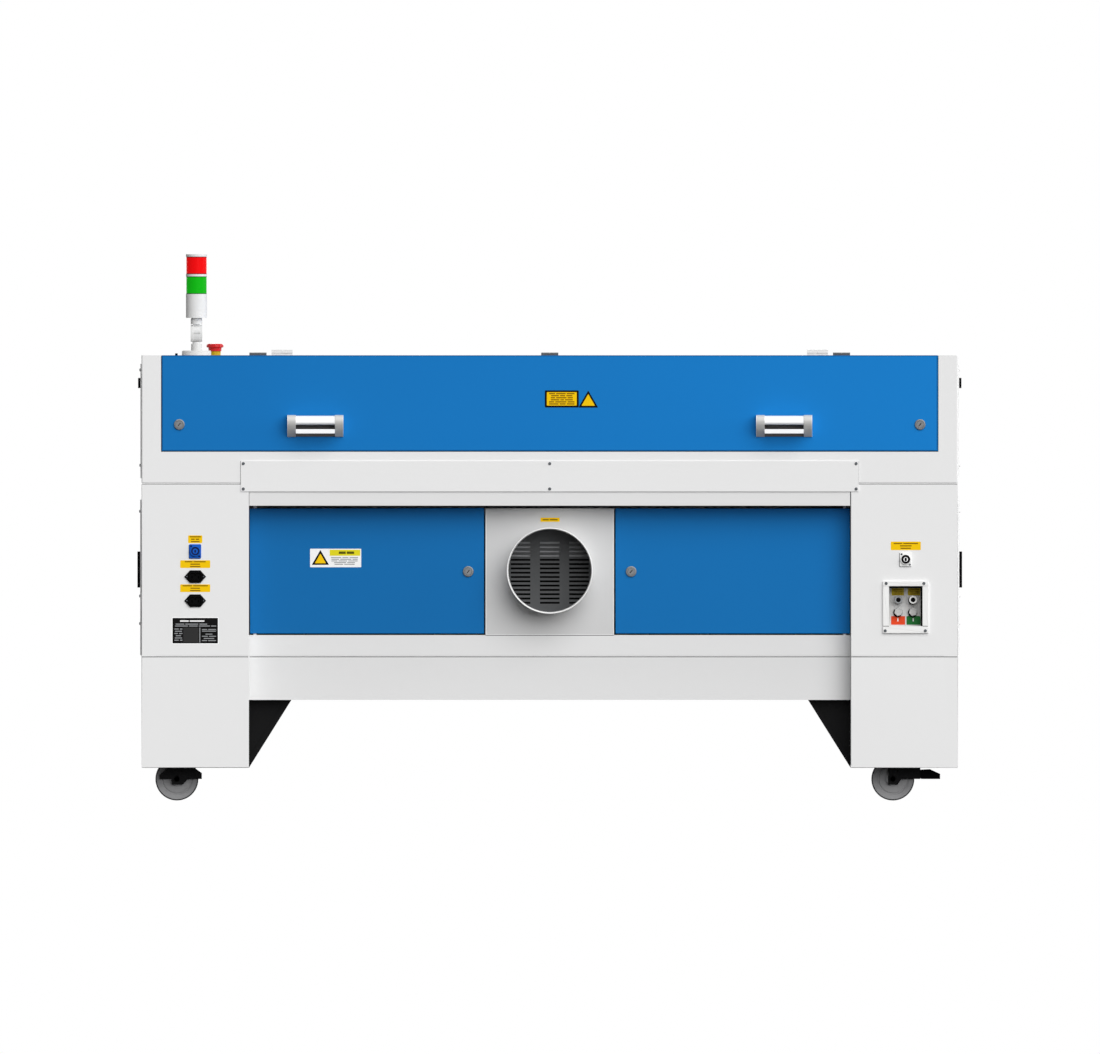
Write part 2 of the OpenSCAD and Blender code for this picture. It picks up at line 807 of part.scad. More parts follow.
// Operator panel on the right-hand slope
module control_panel() {
  color("#3a3d42") translate([leg_mid, -hd, front_z]) rotate([slope_angle, 0, 0]) difference() {
    block([-95, 95], [30, slope_len - 25], [0, 4]);
    block([-75, 75], [slope_len - 125, slope_len - 45], [2.5, 5]);
  }
}

// Glass laser tube, a closed hollow cylinder with its two ports
module laser_tube() {
  end = laser_x + laser_len;
  color("#dfe8ec") {
    difference() {
      bar_x(laser_r, [laser_x, end], laser_y, beam_z);
      bar_x(laser_r - 3, [laser_x + 5, end - 5], laser_y, beam_z);
    }
    for (x = [laser_x + 70, end - 70])
      bar_z(5, x, laser_y, [beam_z + laser_r - 1, beam_z + laser_r + 20]);
  }
}

// Saddles that hold the laser tube, and the stand of the first mirror
module tube_mounts() {
  mirror_x = -leg_in + 10;
  color(steel) {
    for (x = [laser_x + 0.2 * laser_len, laser_x + 0.8 * laser_len]) difference() {
      block([x - 15, x + 15], [laser_y - 50, laser_y + 50], [shelf_z, beam_z]);
      bar_x(laser_r + gap, [x - 16, x + 16], laser_y, beam_z);
    }
    block([mirror_x - 25, mirror_x + 25], [laser_y - 30, laser_y + 30], [shelf_z, shelf_z + 6]);
    block([mirror_x - 25, mirror_x - 19], [laser_y - 12, laser_y + 12], [shelf_z + 6, beam_z - 20]);
    tube_mirror(mirror_x, laser_y);
  }
}

// A mirror block set at 45 degrees across the beam
module tube_mirror(x, y) {
  translate([x, y, beam_z]) rotate([0, 0, 45]) {
    block([-22, 22], [-13, -5], [-20, 20]);
    block([-22, -10], [-13, -5], [-30, -20]);
  }
  block([x - 25, x - 5], [y - 18, y + 6], [beam_z - 40, beam_z - 30]);
}

// High-voltage supply and motion controller in the rear bays
module electrical_units() {
  low = box_z + sheet;
  color("#70747a") {
    unit([leg_in - 430, leg_in - 130], [bulk_y + 5, bulk_y + 130], [low, low + 190]);
    unit([130 - leg_in, 330 - leg_in], [bulk_y + 5, bulk_y + 85], [low, low + 230]);
    unit([350 - leg_in, 470 - leg_in], [bulk_y + 5, bulk_y + 95], [low, low + 160]);
  }
}

// A closed sheet-metal case
module unit(x, y, z) {
  wall = 2;
  difference() {
    block(x, y, z);
    block([x[0] + wall, x[1] - wall], [y[0] + wall, y[1] - wall], [z[0] + wall, z[1] - wall]);
  }
}

// Profiles along the chamber's sides, with the linear rails on top
module gantry_rails() {
  color(steel) both_sides() {
    block([chamber_x - profile, chamber_x], [-hd + 60, bulk_y - sheet], [rail_z - profile, rail_z]);
    block([rail_x, rail_x + rail_w], [-hd + 60, bulk_y - 20], [rail_z, rail_z + rail_h]);
  }
}

// Knife-blade cutting table: upright bars that rest on the bearers
module table_blades() {
  first = -hd + 140;
  last = bulk_y - 100;
  color("#b9bcc0") for (y = [first:blade_pitch:last])
    block([-leg_in + 45, leg_in - 45], [y - 2, y + 2], [table_z - blade_h, table_z]);
}

// Gantry: hollow beam with a front rail, its two trucks and the second mirror
module gantry_beam() {
  y = [gantry_y - beam_d / 2, gantry_y + beam_d / 2];
  top = beam_low + 40;
  end_x = chamber_x - 8;
  color(grey) {
    difference() {
      block([-end_x, end_x], y, [beam_low, top]);
      block([-end_x - 1, end_x + 1], [y[0] + 3, y[1] - 3], [beam_low + 3, top - 3]);
    }
    block([-end_x + 40, end_x - 40], [y[0] - 8, y[0]], [beam_low + 13, beam_low + 27]);
    both_sides() difference() {
      block([chamber_x - 36, end_x], [gantry_y - 45, gantry_y + 45], [rail_z + 4, beam_low]);
      block([rail_x - gap, rail_x + rail_w + gap], [gantry_y - 46, gantry_y + 46],
        [rail_z, rail_z + rail_h + gap]);
    }
    translate([-leg_in + 10, focus_y, beam_z]) rotate([0, 0, -45])
      block([-14, 14], [5, 11], [-14, 14]);
    block([-leg_in + 4, -leg_in + 12], [focus_y - 4, y[0]], [beam_low - 10, beam_low + 2]);
  }
}

// Carriage with the head: bored for the focus tube
module laser_head() {
  y_front = focus_y - 22;
  y_beam = gantry_y - beam_d / 2 - gap;
  x = [head_x - head_w / 2, head_x + head_w / 2];
  color("#2a2c30") difference() {
    union() {
      block(x, [focus_y + 14, y_beam], [beam_low - 8, beam_low + 42]);
      block([head_x - 22, head_x + 22], [y_front, focus_y + 14], [beam_low - 8, beam_low + 35]);
    }
    block([x[0] - 1, x[1] + 1], [y_beam - 8 - gap, y_beam + 1], [beam_low + 13 - gap, beam_low + 27 + gap]);
    bar_z(focus_r + run, head_x, focus_y, [beam_low - 9, beam_low + 22]);
    bar_x(6, [head_x - 23, head_x], focus_y, beam_z);
  }
}

// Focus tube and nozzle, which slide in the head
module nozzle() {
  tip = table_z + 12;
  shoulder = tip + 26;
  color(steel) difference() {
    union() {
      bar_z(focus_r, head_x, focus_y, [shoulder, beam_low + 5]);
      translate([head_x, focus_y, tip]) cylinder(r1 = 3, r2 = focus_r, h = 26);
    }
    bar_z(1.2, head_x, focus_y, [tip - 1, shoulder]);
    bar_z(focus_r - 2, head_x, focus_y, [shoulder - 0.5, beam_low + 6]);
  }
}

// Plates, races and kingpins of the four casters
module caster_mounts() {
  race = crown_z + plate_t;
  color(steel) for (x = [-caster_x, caster_x], y = [-caster_y, caster_y]) {
    block([x - 50, x + 50], [y - 42, y + 42], [pad_z - plate_t, pad_z]);
    bar_z(30, x, y, [race + 8.2 + gap, pad_z - plate_t]);
    bar_z(7, x, y, [crown_z - 0.5, pad_z - plate_t]);
    bar_z(11, x, y, [crown_z - 4, crown_z - gap]);
  }
}

// Cheek outlines, as [distance behind the wheel's axle towards the swivel, height]
plain_cheek = [
  [-11, 37], [-14, 50], [-40, 50], [-40, 60], [-22, 74], [-20, crown_z + plate_t], [64, crown_z + plate_t],
  [44, 80], [44, 74], [58, 64], [58, 50], [26, 50], [13, 37]
];
braked_cheek = [
  [-11, 37], [-11, 80], [-20, 90], [-20, crown_z + plate_t], [64, crown_z + plate_t], [64, 50],
  [20, 50], [11, 37]
];

// A swivel fork with its axle; the wheel trails towards +X
module fork(x, y, cheek, braked) {
  outline = [for (p = cheek) [trail - p[0], p[1]]];
  far = cheek_in + cheek_t;
  color(black) translate([x, y, 0]) {
    difference() {
      union() {
        for (end = [0, 1]) mirror([0, end, 0]) slab_y([cheek_in, far], outline);
        block([trail - 64, trail + 20], [-far, far], [crown_z, crown_z + plate_t]);
        bar_z(28, 0, 0, [crown_z + plate_t, crown_z + plate_t + 8.2]);
      }
      bar_z(7 + run, 0, 0, [crown_z - 1, crown_z + plate_t + 9]);
    }
    bar_y(axle_r, trail, [-far - 3, far + 3], wheel_r);
    if (braked) bar_y(3, trail - brake_u, [-far, far], brake_z);
  }
}

module wheel(x, y) {
  color("#6e7072") translate([x + trail, y, wheel_r]) rotate([90, 0, 0]) difference() {
    union() {
      cylinder(r = wheel_r, h = wheel_w, center = true);
      cylinder(r = 16, h = 2 * (cheek_in - gap), center = true);
    }
    cylinder(r = axle_r + run, h = wheel_w + 20, center = true);
  }
}

// Brake pedal, which turns on a pin between the cheeks
module brake(x, y) {
  hub = 5.5;
  side = cheek_in - gap;
  outline = [[brake_u, brake_z - hub], [66, 50], [110, 50], [110, 62], [86, 73], [brake_u, brake_z + hub]];
  color(black) translate([x, y, 0]) difference() {
    union() {
      slab_y([-side, side], [for (p = outline) [trail - p[0], p[1]]]);
      bar_y(hub, trail - brake_u, [-side, side], brake_z);
    }
    bar_y(3 + run, trail - brake_u, [-side - 1, side + 1], brake_z);
  }
}

module fork_rear_right() { fork(caster_x, caster_y, plain_cheek, false); }
module fork_rear_left() { fork(-caster_x, caster_y, braked_cheek, true); }
module fork_front_right() { fork(caster_x, -caster_y, plain_cheek, false); }
module fork_front_left() { fork(-caster_x, -caster_y, braked_cheek, true); }
module wheel_rear_right() { wheel(caster_x, caster_y); }
module wheel_rear_left() { wheel(-caster_x, caster_y); }
module wheel_front_right() { wheel(caster_x, -caster_y); }
module wheel_front_left() { wheel(-caster_x, -caster_y); }
module brake_rear_left() { brake(-caster_x, caster_y); }
module brake_front_left() { brake(-caster_x, -caster_y); }

// Rear cover: one folded sheet, over the tube bay's rear and top
module rear_cover() {
  color(blue) difference() {
    union() {
      block([-cover_hw, cover_hw], [hd - sheet, hd], [cover_z, deck_z]);
      block([-cover_hw, cover_hw], [cover_y, hd], [deck_z - sheet, deck_z]);
      for (x = [-cover_hinge_x, 0, cover_hinge_x])
        translate([x, cover_hinge_y, deck_z + cover_hinge_r]) mirror([1, 0, 0]) cover_hinge(1);
    }
    both_sides() bar_y(barrel_r + run, cover_lock_x, [hd - sheet - 1, hd + 1], cover_lock_z);
  }
}

// Two aluminium pulls: end caps with a slotted grip between them
module cover_handles() {
  half = handle_w / 2;
  low = handle_z - handle_h / 2;
  high = handle_z + handle_h / 2;
  out = hd + handle_out;
  color(grey) both_sides() translate([handle_x, 0, 0]) {
    for (side = [0, 1]) mirror([side, 0, 0]) slab_x([half - handle_cap, half], [
      [hd, low], [out - 12, low], [out - 3, low + 7], [out, low + 16], [out, high - 16],
      [out - 3, high - 7], [out - 12, high], [hd, high]
    ]);
    slab_x([handle_cap - half, half - handle_cap], [
      [out - 22, high - 3], [out - 12, high - 1], [out - 3, high - 7], [out - 1, high - 22],
      [out - 5, high - 22], [out - 8, high - 9], [out - 22, high - 7]
    ]);
    slab_x([handle_cap - half, half - handle_cap], [
      [out - 16, low + 7], [out - 1, low + 7], [out - 1, low + 18], [out - 5, low + 18], [out - 5, low + 11],
      [out - 16, low + 11]
    ]);
  }
}

// A cam lock: face, barrel, and a cam that hangs down when it is unlocked
module cam_lock(x, face_y, z, deep) {
  cam_y = face_y - deep;
  color(grey) {
    bar_y(lock_r, x, [face_y, face_y + 4], z);
    bar_y(barrel_r, x, [cam_y, face_y], z);
    block([x - 7, x + 7], [cam_y, cam_y + 3], [z - cam_reach, z]);
  }
}

module cover_lock_right() { cam_lock(cover_lock_x, hd, cover_lock_z, return_d + 3.5); }
module cover_lock_left() { cam_lock(-cover_lock_x, hd, cover_lock_z, return_d + 3.5); }
module door_lock_right() { cam_lock(door_lock_x, recess_y, door_lock_z, 9); }
module door_lock_left() { cam_lock(-door_lock_x, recess_y, door_lock_z, 9); }

// One rear door: a pan that turns on pins at its outer edge
module rear_door() {
  y = [recess_y - door_deep, recess_y];
  pin_y = recess_y - door_deep / 2;
  difference() {
    block([door_in, door_out], y, [door_low, door_high]);
    block([door_in + sheet, door_out - sheet], [y[0] - 1, y[1] - sheet],
      [door_low + sheet, door_high - sheet]);
    bar_z(door_pin_r + run, door_pin_x, pin_y, [door_low - 1, door_high + 1]);
    bar_y(barrel_r + run, door_lock_x, [recess_y - sheet - 1, recess_y + 1], door_lock_z);
    block([door_in - 1, door_in + sheet + 1], [y[0] - 1, y[1] - sheet],
      [door_lock_z - 60, door_lock_z + 60]);
  }
}

module rear_door_right() {
  color(blue) rear_door();
}

module rear_door_left() {
  color(blue) mirror([1, 0, 0]) rear_door();
}

// Lid: skin over the slope and the top, skirts, hinge halves and strut studs
module lid() {
  color(blue) difference() {
    union() {
      slab_x([-lid_hw, lid_hw], lid_band(lid_front, lid_rear, sheet));
      both_sides() slab_x([lid_hw - sheet, lid_hw], lid_band(lid_front, lid_rear, lid_skirt));
      block([-lid_hw, lid_hw], [lid_rear - sheet, lid_rear], [deck_z - lid_skirt, deck_z]);
      lid_nose();
      for (x = [-lid_hinge_x, lid_hinge_x])
        translate([x, lid_hinge_y, lid_hinge_z]) mirror([0, 1, 0]) lid_hinge(1);
      both_sides() bar_x(6, [strut_x + 5.5, lid_hw - sheet], strut_head[0], strut_head[1]);
      both_sides() block([lid_hw - sheet, lid_hw], [strut_head[0] - 12, strut_head[0] + 12],
        [strut_head[1] - 8, deck_z - lid_skirt]);
    }
    block([-window_hw, window_hw], [window_front, window_rear], [deck_z - sheet - 1, deck_z + 1]);
  }
}

// Front edge of the lid: a short fold and a lip to lift it by
module lid_nose() {
  edge = slope_z(lid_front, 0);
  block([-lid_hw, lid_hw], [lid_front, lid_front + sheet], [edge - lid_skirt, edge - 1]);
  translate([0, lid_front, edge]) rotate([slope_angle, 0, 0])
    block([-150, 150], [20, 22], [0, 26]);
}

module lid_window() {
  color("#6b3a1e", 0.6) block([-window_hw - window_lap, window_hw + window_lap],
    [window_front - window_lap, window_rear + window_lap], [deck_z - sheet - window_t, deck_z - sheet]);
}

// Gas strut cylinder, which turns on the chamber wall
module strut_tube() {
  color(black) translate([strut_x, strut_foot[0], strut_foot[1]]) rotate([strut_angle, 0, 0]) difference() {
    union() {
      bar_x(9, [-5, 5], 0, 0);
      bar_y(strut_r, 0, [0, strut_tube_len], 0);
    }
    block([-12, -5], [-12, 12], [-12, 12]);
    block([5, 12], [-12, 12], [-12, 12]);
    bar_x(rod_r + run, [-6, 6], 0, 0);
    bar_y(rod_r + run, 0, [24, strut_tube_len + 1], 0);
  }
}

// Piston rod and its end eye
module strut_rod() {
  color(steel) translate([strut_x, strut_foot[0], strut_foot[1]]) rotate([strut_angle, 0, 0]) {
    bar_y(rod_r, 0, [40, strut_len - 6], 0);
    difference() {
      bar_x(8, [-4.5, 4.5], strut_len, 0);
      bar_x(4, [-5, 5], strut_len, 0);
    }
  }
}

module strut_tube_right() { strut_tube(); }
module strut_tube_left() { mirror([1, 0, 0]) strut_tube(); }
module strut_rod_right() { strut_rod(); }
module strut_rod_left() { mirror([1, 0, 0]) strut_rod(); }

// Pass-through flap on the front, hinged along its lower edge
module front_flap() {
  y = [-hd - front_gap - sheet, -hd - front_gap];
  color(blue) {
    block([-flap_hw, flap_hw], y, [flap_low, flap_high]);
    block([-120, 120], [y[0] - 24, y[0]], [flap_high - sheet - 8, flap_high - 8]);
    block([-120, 120], [y[0] - 24, y[0] - 22], [flap_high - sheet - 20, flap_high - sheet - 8]);
    for (x = [-flap_hw + 80, flap_hw - 80]) flap_knuckle(x);
  }
}

// The flap's half of a hinge, wrapped from its outer face
module flap_knuckle(x) {
  y = -hd - flap_hinge_r;
  difference() {
    union() {
      bar_x(flap_hinge_r, [x - cover_hinge_w / 2, x - gap], y, flap_hinge_z);
      block([x - cover_hinge_w / 2, x - gap], [y - flap_hinge_r, -hd - front_gap - sheet],
        [flap_hinge_z, flap_low + 14]);
    }
    bar_x(1.5 + run, [x - cover_hinge_w / 2 - 1, x], y, flap_hinge_z);
  }
}

// Debris drawer: front panel with a lip, and an open tray
module debris_drawer() {
  face = [-hd - front_gap - sheet, -hd - front_gap];
  color(white) {
    block([-drawer_hw - 26, drawer_hw + 26], face, [drawer_low - 16, drawer_high + 20]);
    block([-120, 120], [face[0] - 24, face[0]], [drawer_high - sheet, drawer_high]);
    block([-120, 120], [face[0] - 24, face[0] - 22], [drawer_high - 14, drawer_high - sheet]);
    difference() {
      block([-drawer_hw, drawer_hw], [face[1], drawer_back], [drawer_low, drawer_high]);
      block([sheet - drawer_hw, drawer_hw - sheet], [face[1] + sheet, drawer_back - sheet],
        [drawer_low + sheet, drawer_high + 1]);
    }
  }
}

base_frame();
pedestal_right();
pedestal_left();
side_panels();
side_pulls();
centre_box();
exhaust_panel();
exhaust_grille();
exhaust_spigot();
joint_plate();
upper_housing();
lid_supports();
screws();
hinge_leaves();
power_connectors();
service_sockets();
port_tray();
port_fittings();
tower_foot();
estop_base();
control_panel();
laser_tube();
tube_mounts();
electrical_units();
gantry_rails();
table_blades();
caster_mounts();
rear_cover();
cover_handles();
cover_lock_right();
cover_lock_left();
rear_door_right();
rear_door_left();
door_lock_right();
door_lock_left();
lid();
lid_window();
strut_tube_right();
strut_tube_left();
strut_rod_right();
strut_rod_left();
gantry_beam();
laser_head();
nozzle();
front_flap();
debris_drawer();
tower_column();
tower_green();
tower_red();
estop_button();
fork_rear_right();
fork_rear_left();
fork_front_right();
fork_front_left();
wheel_rear_right();
wheel_rear_left();
wheel_front_right();
wheel_front_left();
brake_rear_left();
brake_front_left();
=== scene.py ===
# %% [markdown]
# # The rear of a carbon dioxide laser cutting machine
# The machine is a cabinet of folded sheet steel on two pedestals and four casters. Its shapes, sizes and
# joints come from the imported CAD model, which is loaded once and stays where it is. This file gives every
# part its finish, and models the small pieces that carry the look: rounded folds, a rolled spigot rim,
# pull handles, cam locks, screws, sockets, labels and tyres.

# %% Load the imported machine
import math

import bmesh
import bpy
from mathutils import Matrix, Vector


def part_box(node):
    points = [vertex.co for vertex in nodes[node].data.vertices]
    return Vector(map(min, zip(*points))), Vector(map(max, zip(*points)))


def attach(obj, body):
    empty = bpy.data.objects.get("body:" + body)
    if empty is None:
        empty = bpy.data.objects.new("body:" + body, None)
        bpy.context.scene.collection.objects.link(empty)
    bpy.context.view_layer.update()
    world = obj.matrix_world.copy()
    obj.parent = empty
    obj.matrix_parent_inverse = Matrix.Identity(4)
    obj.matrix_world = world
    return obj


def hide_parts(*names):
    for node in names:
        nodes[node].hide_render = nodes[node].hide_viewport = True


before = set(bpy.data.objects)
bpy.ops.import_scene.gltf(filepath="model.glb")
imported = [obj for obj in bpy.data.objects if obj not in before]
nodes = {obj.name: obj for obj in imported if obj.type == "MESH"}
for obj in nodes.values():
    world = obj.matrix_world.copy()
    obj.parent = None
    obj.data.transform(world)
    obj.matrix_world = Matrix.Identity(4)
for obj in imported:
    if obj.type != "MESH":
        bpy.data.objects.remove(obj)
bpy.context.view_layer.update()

# %% [markdown]
# ## Colours and nodes
# Colours are written as the hex codes a paint shop would quote. A renderer adds light in linear numbers, so
# one function turns a code into linear values. A second one adds a shader node, sets it and links it. Most
# finishes end alike: two tones are mixed, the gloss drifts about a middle value, and a faint relief bends the
# light. A third function does that, which keeps each finish below to a short recipe.

# %% Small helpers for finishes
MM = 0.001
TONE_A, TONE_B, TONE_OUT = 6, 7, 2  # where a Mix node keeps its two colours and the mixed one


def linear(code, times=1.0):
    """A hex colour as linear red, green, blue and alpha."""
    parts = [int(code[i : i + 2], 16) / 255 for i in (1, 3, 5)]
    curve = [c / 12.92 if c <= 0.04045 else ((c + 0.055) / 1.055) ** 2.4 for c in parts]
    return [min(1.0, c * times) for c in curve] + [1.0]


def add_node(tree, kind, links=None, **settings):
    """Add a shader node. Links sets its sockets to values, to outputs, or to other nodes' first outputs."""
    node = tree.nodes.new("ShaderNode" + kind)
    for name, value in settings.items():
        setattr(node, name, value)
    for name, value in (links or {}).items():
        if isinstance(value, bpy.types.Node):
            value = value.outputs[0]
        if isinstance(value, bpy.types.NodeSocket):
            tree.links.new(value, node.inputs[name])
        else:
            node.inputs[name].default_value = value
    return node


def new_material(name):
    """A material with an empty node tree, and the place on the machine that its patterns read."""
    material = bpy.data.materials.new(name)
    material.use_nodes = True
    tree = material.node_tree
    tree.nodes.clear()
    return material, tree, add_node(tree, "TexCoord").outputs["Object"]


def join_surface(tree, tones, gloss, relief, sockets):
    """The end of a recipe. Tones is a pattern and the tones at its two ends, gloss is a pattern, a middle
    value and a swing, and relief is a pattern, a strength and a depth in mm. Sockets has the rest."""
    pattern, first, second = tones
    tone = add_node(tree, "Mix", {"Factor": pattern, TONE_A: first, TONE_B: second}, data_type="RGBA")
    pattern, rough, swing = gloss
    if swing:
        ends = {"To Min": rough - swing, "To Max": rough + swing}
        rough = add_node(tree, "MapRange", {"Value": pattern} | ends)
    pattern, strength, depth = relief
    bump = add_node(tree, "Bump", {"Height": pattern, "Strength": strength, "Distance": depth * MM})
    joined = {"Base Color": tone.outputs[TONE_OUT], "Roughness": rough, "Normal": bump}
    add_node(tree, "OutputMaterial", {"Surface": add_node(tree, "BsdfPrincipled", joined | sockets)})


print("white paint in linear values", [round(c, 3) for c in linear("#e5e5e5")])

# %% [markdown]
# ## Powder coat
# The cabinet is powder coated: dry paint dust is sprayed on the steel and melted in an oven. The melt never
# levels fully, so the skin keeps a soft orange-peel ripple about 2 mm apart and a few microns deep. The eye
# reads it as a calm satin sheen whose highlights break up. A fine noise drives a faint bump, and a broad
# noise shifts the tone and the gloss a little across each panel, as a real oven does. The blue coats also
# carry painted light: their tone grows lighter from +X towards -X, the side where the lamps stand.

# %% Powder coat in each colour
PEEL_MM = 2.2
PEEL_DEPTH_MM = 0.05
CLOUD_MM = 260
RAMP_M = 0.95


def powder_coat(name, code, gloss, shine, drift=0.03, painted_light_lean=0.0):
    """Satin powder coat: orange peel, a tone drifting in clouds, and painted light growing towards -X."""
    material, tree, place = new_material(name)
    cloud = add_node(tree, "TexNoise", {"Vector": place, "Scale": 1000 / CLOUD_MM, "Detail": 3.0})
    peel = add_node(tree, "TexNoise", {"Vector": place, "Scale": 1000 / PEEL_MM, "Detail": 1.5})
    along = add_node(tree, "SeparateXYZ", {"Vector": place})
    painted_light_ramp = add_node(tree, "MapRange", {"Value": along, "From Min": RAMP_M, "From Max": -RAMP_M})
    cloud_and_painted_light = add_node(tree, "Mix", {"Factor": painted_light_lean, "A": cloud, "B": painted_light_ramp})
    tones = (cloud_and_painted_light, linear(code, 1 - drift), linear(code, 1 + drift))
    relief = (peel, 0.12, PEEL_DEPTH_MM)
    join_surface(tree, tones, (cloud, gloss, 0.05), relief, {"Specular IOR Level": shine})
    return material


finishes = {}


def mix_finishes(recipe, *rows):
    """Make a table of finishes: each row has a key, and then what the recipe takes."""
    for key, *values in rows:
        finishes[key] = recipe(*values)
    print("finishes so far", len(finishes))


mix_finishes(  # key, name, colour, gloss, shine, drift, lean
    powder_coat,
    ("white_paint", "white powder coat", "#e3e3e3", 0.5, 0.25, 0.008),
    ("deck_paint", "white powder coat, deck", "#d4d4d4", 0.6, 0.03, 0.008),
    ("box_paint", "white powder coat, centre box", "#dbdbdb", 0.5, 0.25, 0.008),
    ("grey_paint", "light grey powder coat", "#c6c6c6", 0.5, 0.25, 0.01),
    ("black_paint", "black powder coat", "#0a0a0b", 0.5, 0.06),
    ("dark_paint", "dark grey powder coat", "#474849", 0.6, 0.03),
    # the blues carry painted light that grows towards -X, where the lamps stand
    ("blue_paint", "blue powder coat", "#1074bd", 0.45, 0.07, 0.14, 0.85),
    # the doors' blue is a darker copy of the cover's: painted shade for their recess
    ("door_paint", "blue powder coat, doors", "#0f69aa", 0.45, 0.07, 0.14, 0.85),
    ("rim_paint", "blue powder coat, folded rim", "#0a4c80", 0.45, 0.07),
    ("cream_paint", "spigot enamel", "#f7f7f6", 0.35, 0.3, 0.01),
    ("case_paint", "grey case coat", "#70747a", 0.5, 0.3),
    ("head_paint", "black anodised head", "#2a2c30", 0.38, 0.3),
)

# %% [markdown]
# ## Moulded plastic
# Switch bodies, sockets, the tower light and the pulls are moulded ABS. The mould is spark eroded, so the
# skin has a grain about 0.6 mm across. It is drawn as 1.4 mm here, because the real one is too fine to see
# from where the machine stands. Softer plastics have a wider, duller highlight than the coat on steel.
# Gaps, holes and slots that lie deep get painted shade: a dark plastic that hardly shines. The fan housing
# deep behind the grille is a grey that hardly shines.

# %% Moulded plastics
GRAIN_MM = 1.4
GRAIN_DEPTH_MM = 0.04
FLOW_MM = 45


def moulded_plastic(name, code, gloss, shine, coat=0.0, painted_glow=0.0):
    """Moulded ABS with a fine eroded grain. Glow is painted light that keeps the lenses' colour even."""
    material, tree, place = new_material(name)
    grain = add_node(tree, "TexNoise", {"Vector": place, "Scale": 1000 / GRAIN_MM, "Detail": 2.0})
    flow = add_node(tree, "TexNoise", {"Vector": place, "Scale": 1000 / FLOW_MM, "Detail": 2.0})
    tones = (flow, linear(code, 0.95 * (1 - painted_glow)), linear(code, 1.05 * (1 - painted_glow)))
    sockets = {"Specular IOR Level": shine, "Coat Weight": coat, "Coat Roughness": 0.12}
    sockets |= {"Emission Color": linear(code), "Emission Strength": painted_glow}
    join_surface(tree, tones, (flow, gloss, 0.06), (grain, 0.15, GRAIN_DEPTH_MM), sockets)
    return material


mix_finishes(  # key, name, colour, gloss, shine, coat, glow
    moulded_plastic,
    ("black_plastic", "black ABS", "#050506", 0.4, 0.02),
    ("white_plastic", "white ABS", "#eaeae9", 0.4, 0.25),
    ("yellow_plastic", "yellow ABS", "#ac8f12", 0.4, 0.15),
    ("blue_plastic", "blue ABS", "#1159ba", 0.4, 0.08),
    ("red_plastic", "red ABS", "#b81317", 0.25, 0.3),
    ("tower_plastic", "tower ABS", "#d4d4d3", 0.6, 0.03),
    ("joint_plastic", "pale grey ABS", "#cbcbca", 0.6, 0.03),
    ("tray_plastic", "grey white ABS", "#d2d2d1", 0.4, 0.1),
    ("plug_plastic", "grey blind plug", "#b9b9b8", 0.4, 0.1),
    ("panel_plastic", "panel ABS", "#3a3d42", 0.4, 0.25),
    ("key_rubber", "grey key rubber", "#9a9da1", 0.5, 0.3),
    ("screen_glass", "dark screen glass", "#0d1420", 0.12, 0.5, 0.6),
    ("cast_cap", "satin sprayed die casting", "#c9c8c6", 0.5, 0.2),
    ("finger_tray", "dark grey ABS", "#595654", 0.5, 0.1),
    ("keyway", "keyway shadow", "#08080a", 0.6, 0.05),
    ("navy_gap", "navy ABS in shade", "#091a48", 0.5, 0.1),
    ("black_gap", "black ABS in shade", "#050506", 0.6, 0.03),
    ("duct_black", "duct in shade", "#020202", 0.9, 0.0),
    ("duct_grey", "fan housing in shade", "#8e8f91", 0.8, 0.0),
    # the lenses glow a little by themselves: painted light
    ("green_lens", "green polycarbonate lens", "#12ae16", 0.3, 0.03, 0.0, 0.5),
    ("red_lens", "red polycarbonate lens", "#ea0e11", 0.3, 0.03, 0.0, 0.5),
    ("tower_green_skirt", "lens skirt green", "#0a5f0c", 0.35, 0.1),
    ("tower_red_skirt", "lens skirt red", "#7c080a", 0.35, 0.1),
)

# %% [markdown]
# ## Metals
# The bare metals are told apart by how they were worked. Rolled or brushed stock has fine lines along its
# length, so its noise is stretched twenty-fold along X. Zinc plate has pale spangled blotches instead, and
# plated locks are the smoothest. Metals keep the default IOR, since their colour is the reflection itself.

# %% Brushed, plated and blackened metal
BRUSH_MM = 0.9
BRUSH_DEPTH_MM = 0.03
SPANGLE_MM = 7
BRUSHED = 20.0  # how far the lines are stretched


def worked_metal(name, code, gloss, stretch=BRUSHED, metal=1.0, spangle=0.06, shine=0.5):
    """Bare metal: brushed lines along X, which also vary its gloss, and blotches in its tone."""
    material, tree, place = new_material(name)
    along = add_node(tree, "Mapping", {"Vector": place, "Scale": (1 / stretch, 1.0, 1.0)})
    lines = add_node(tree, "TexNoise", {"Vector": along, "Scale": 1000 / BRUSH_MM, "Detail": 2.0})
    blotch = add_node(tree, "TexVoronoi", {"Vector": place, "Scale": 1000 / SPANGLE_MM}, feature="SMOOTH_F1")
    tones = (blotch, linear(code, 1 + spangle), linear(code, 1 - spangle))
    sockets = {"Metallic": metal, "Specular IOR Level": shine}
    join_surface(tree, tones, (lines, gloss, 0.08), (lines, 0.12, BRUSH_DEPTH_MM), sockets)
    return material


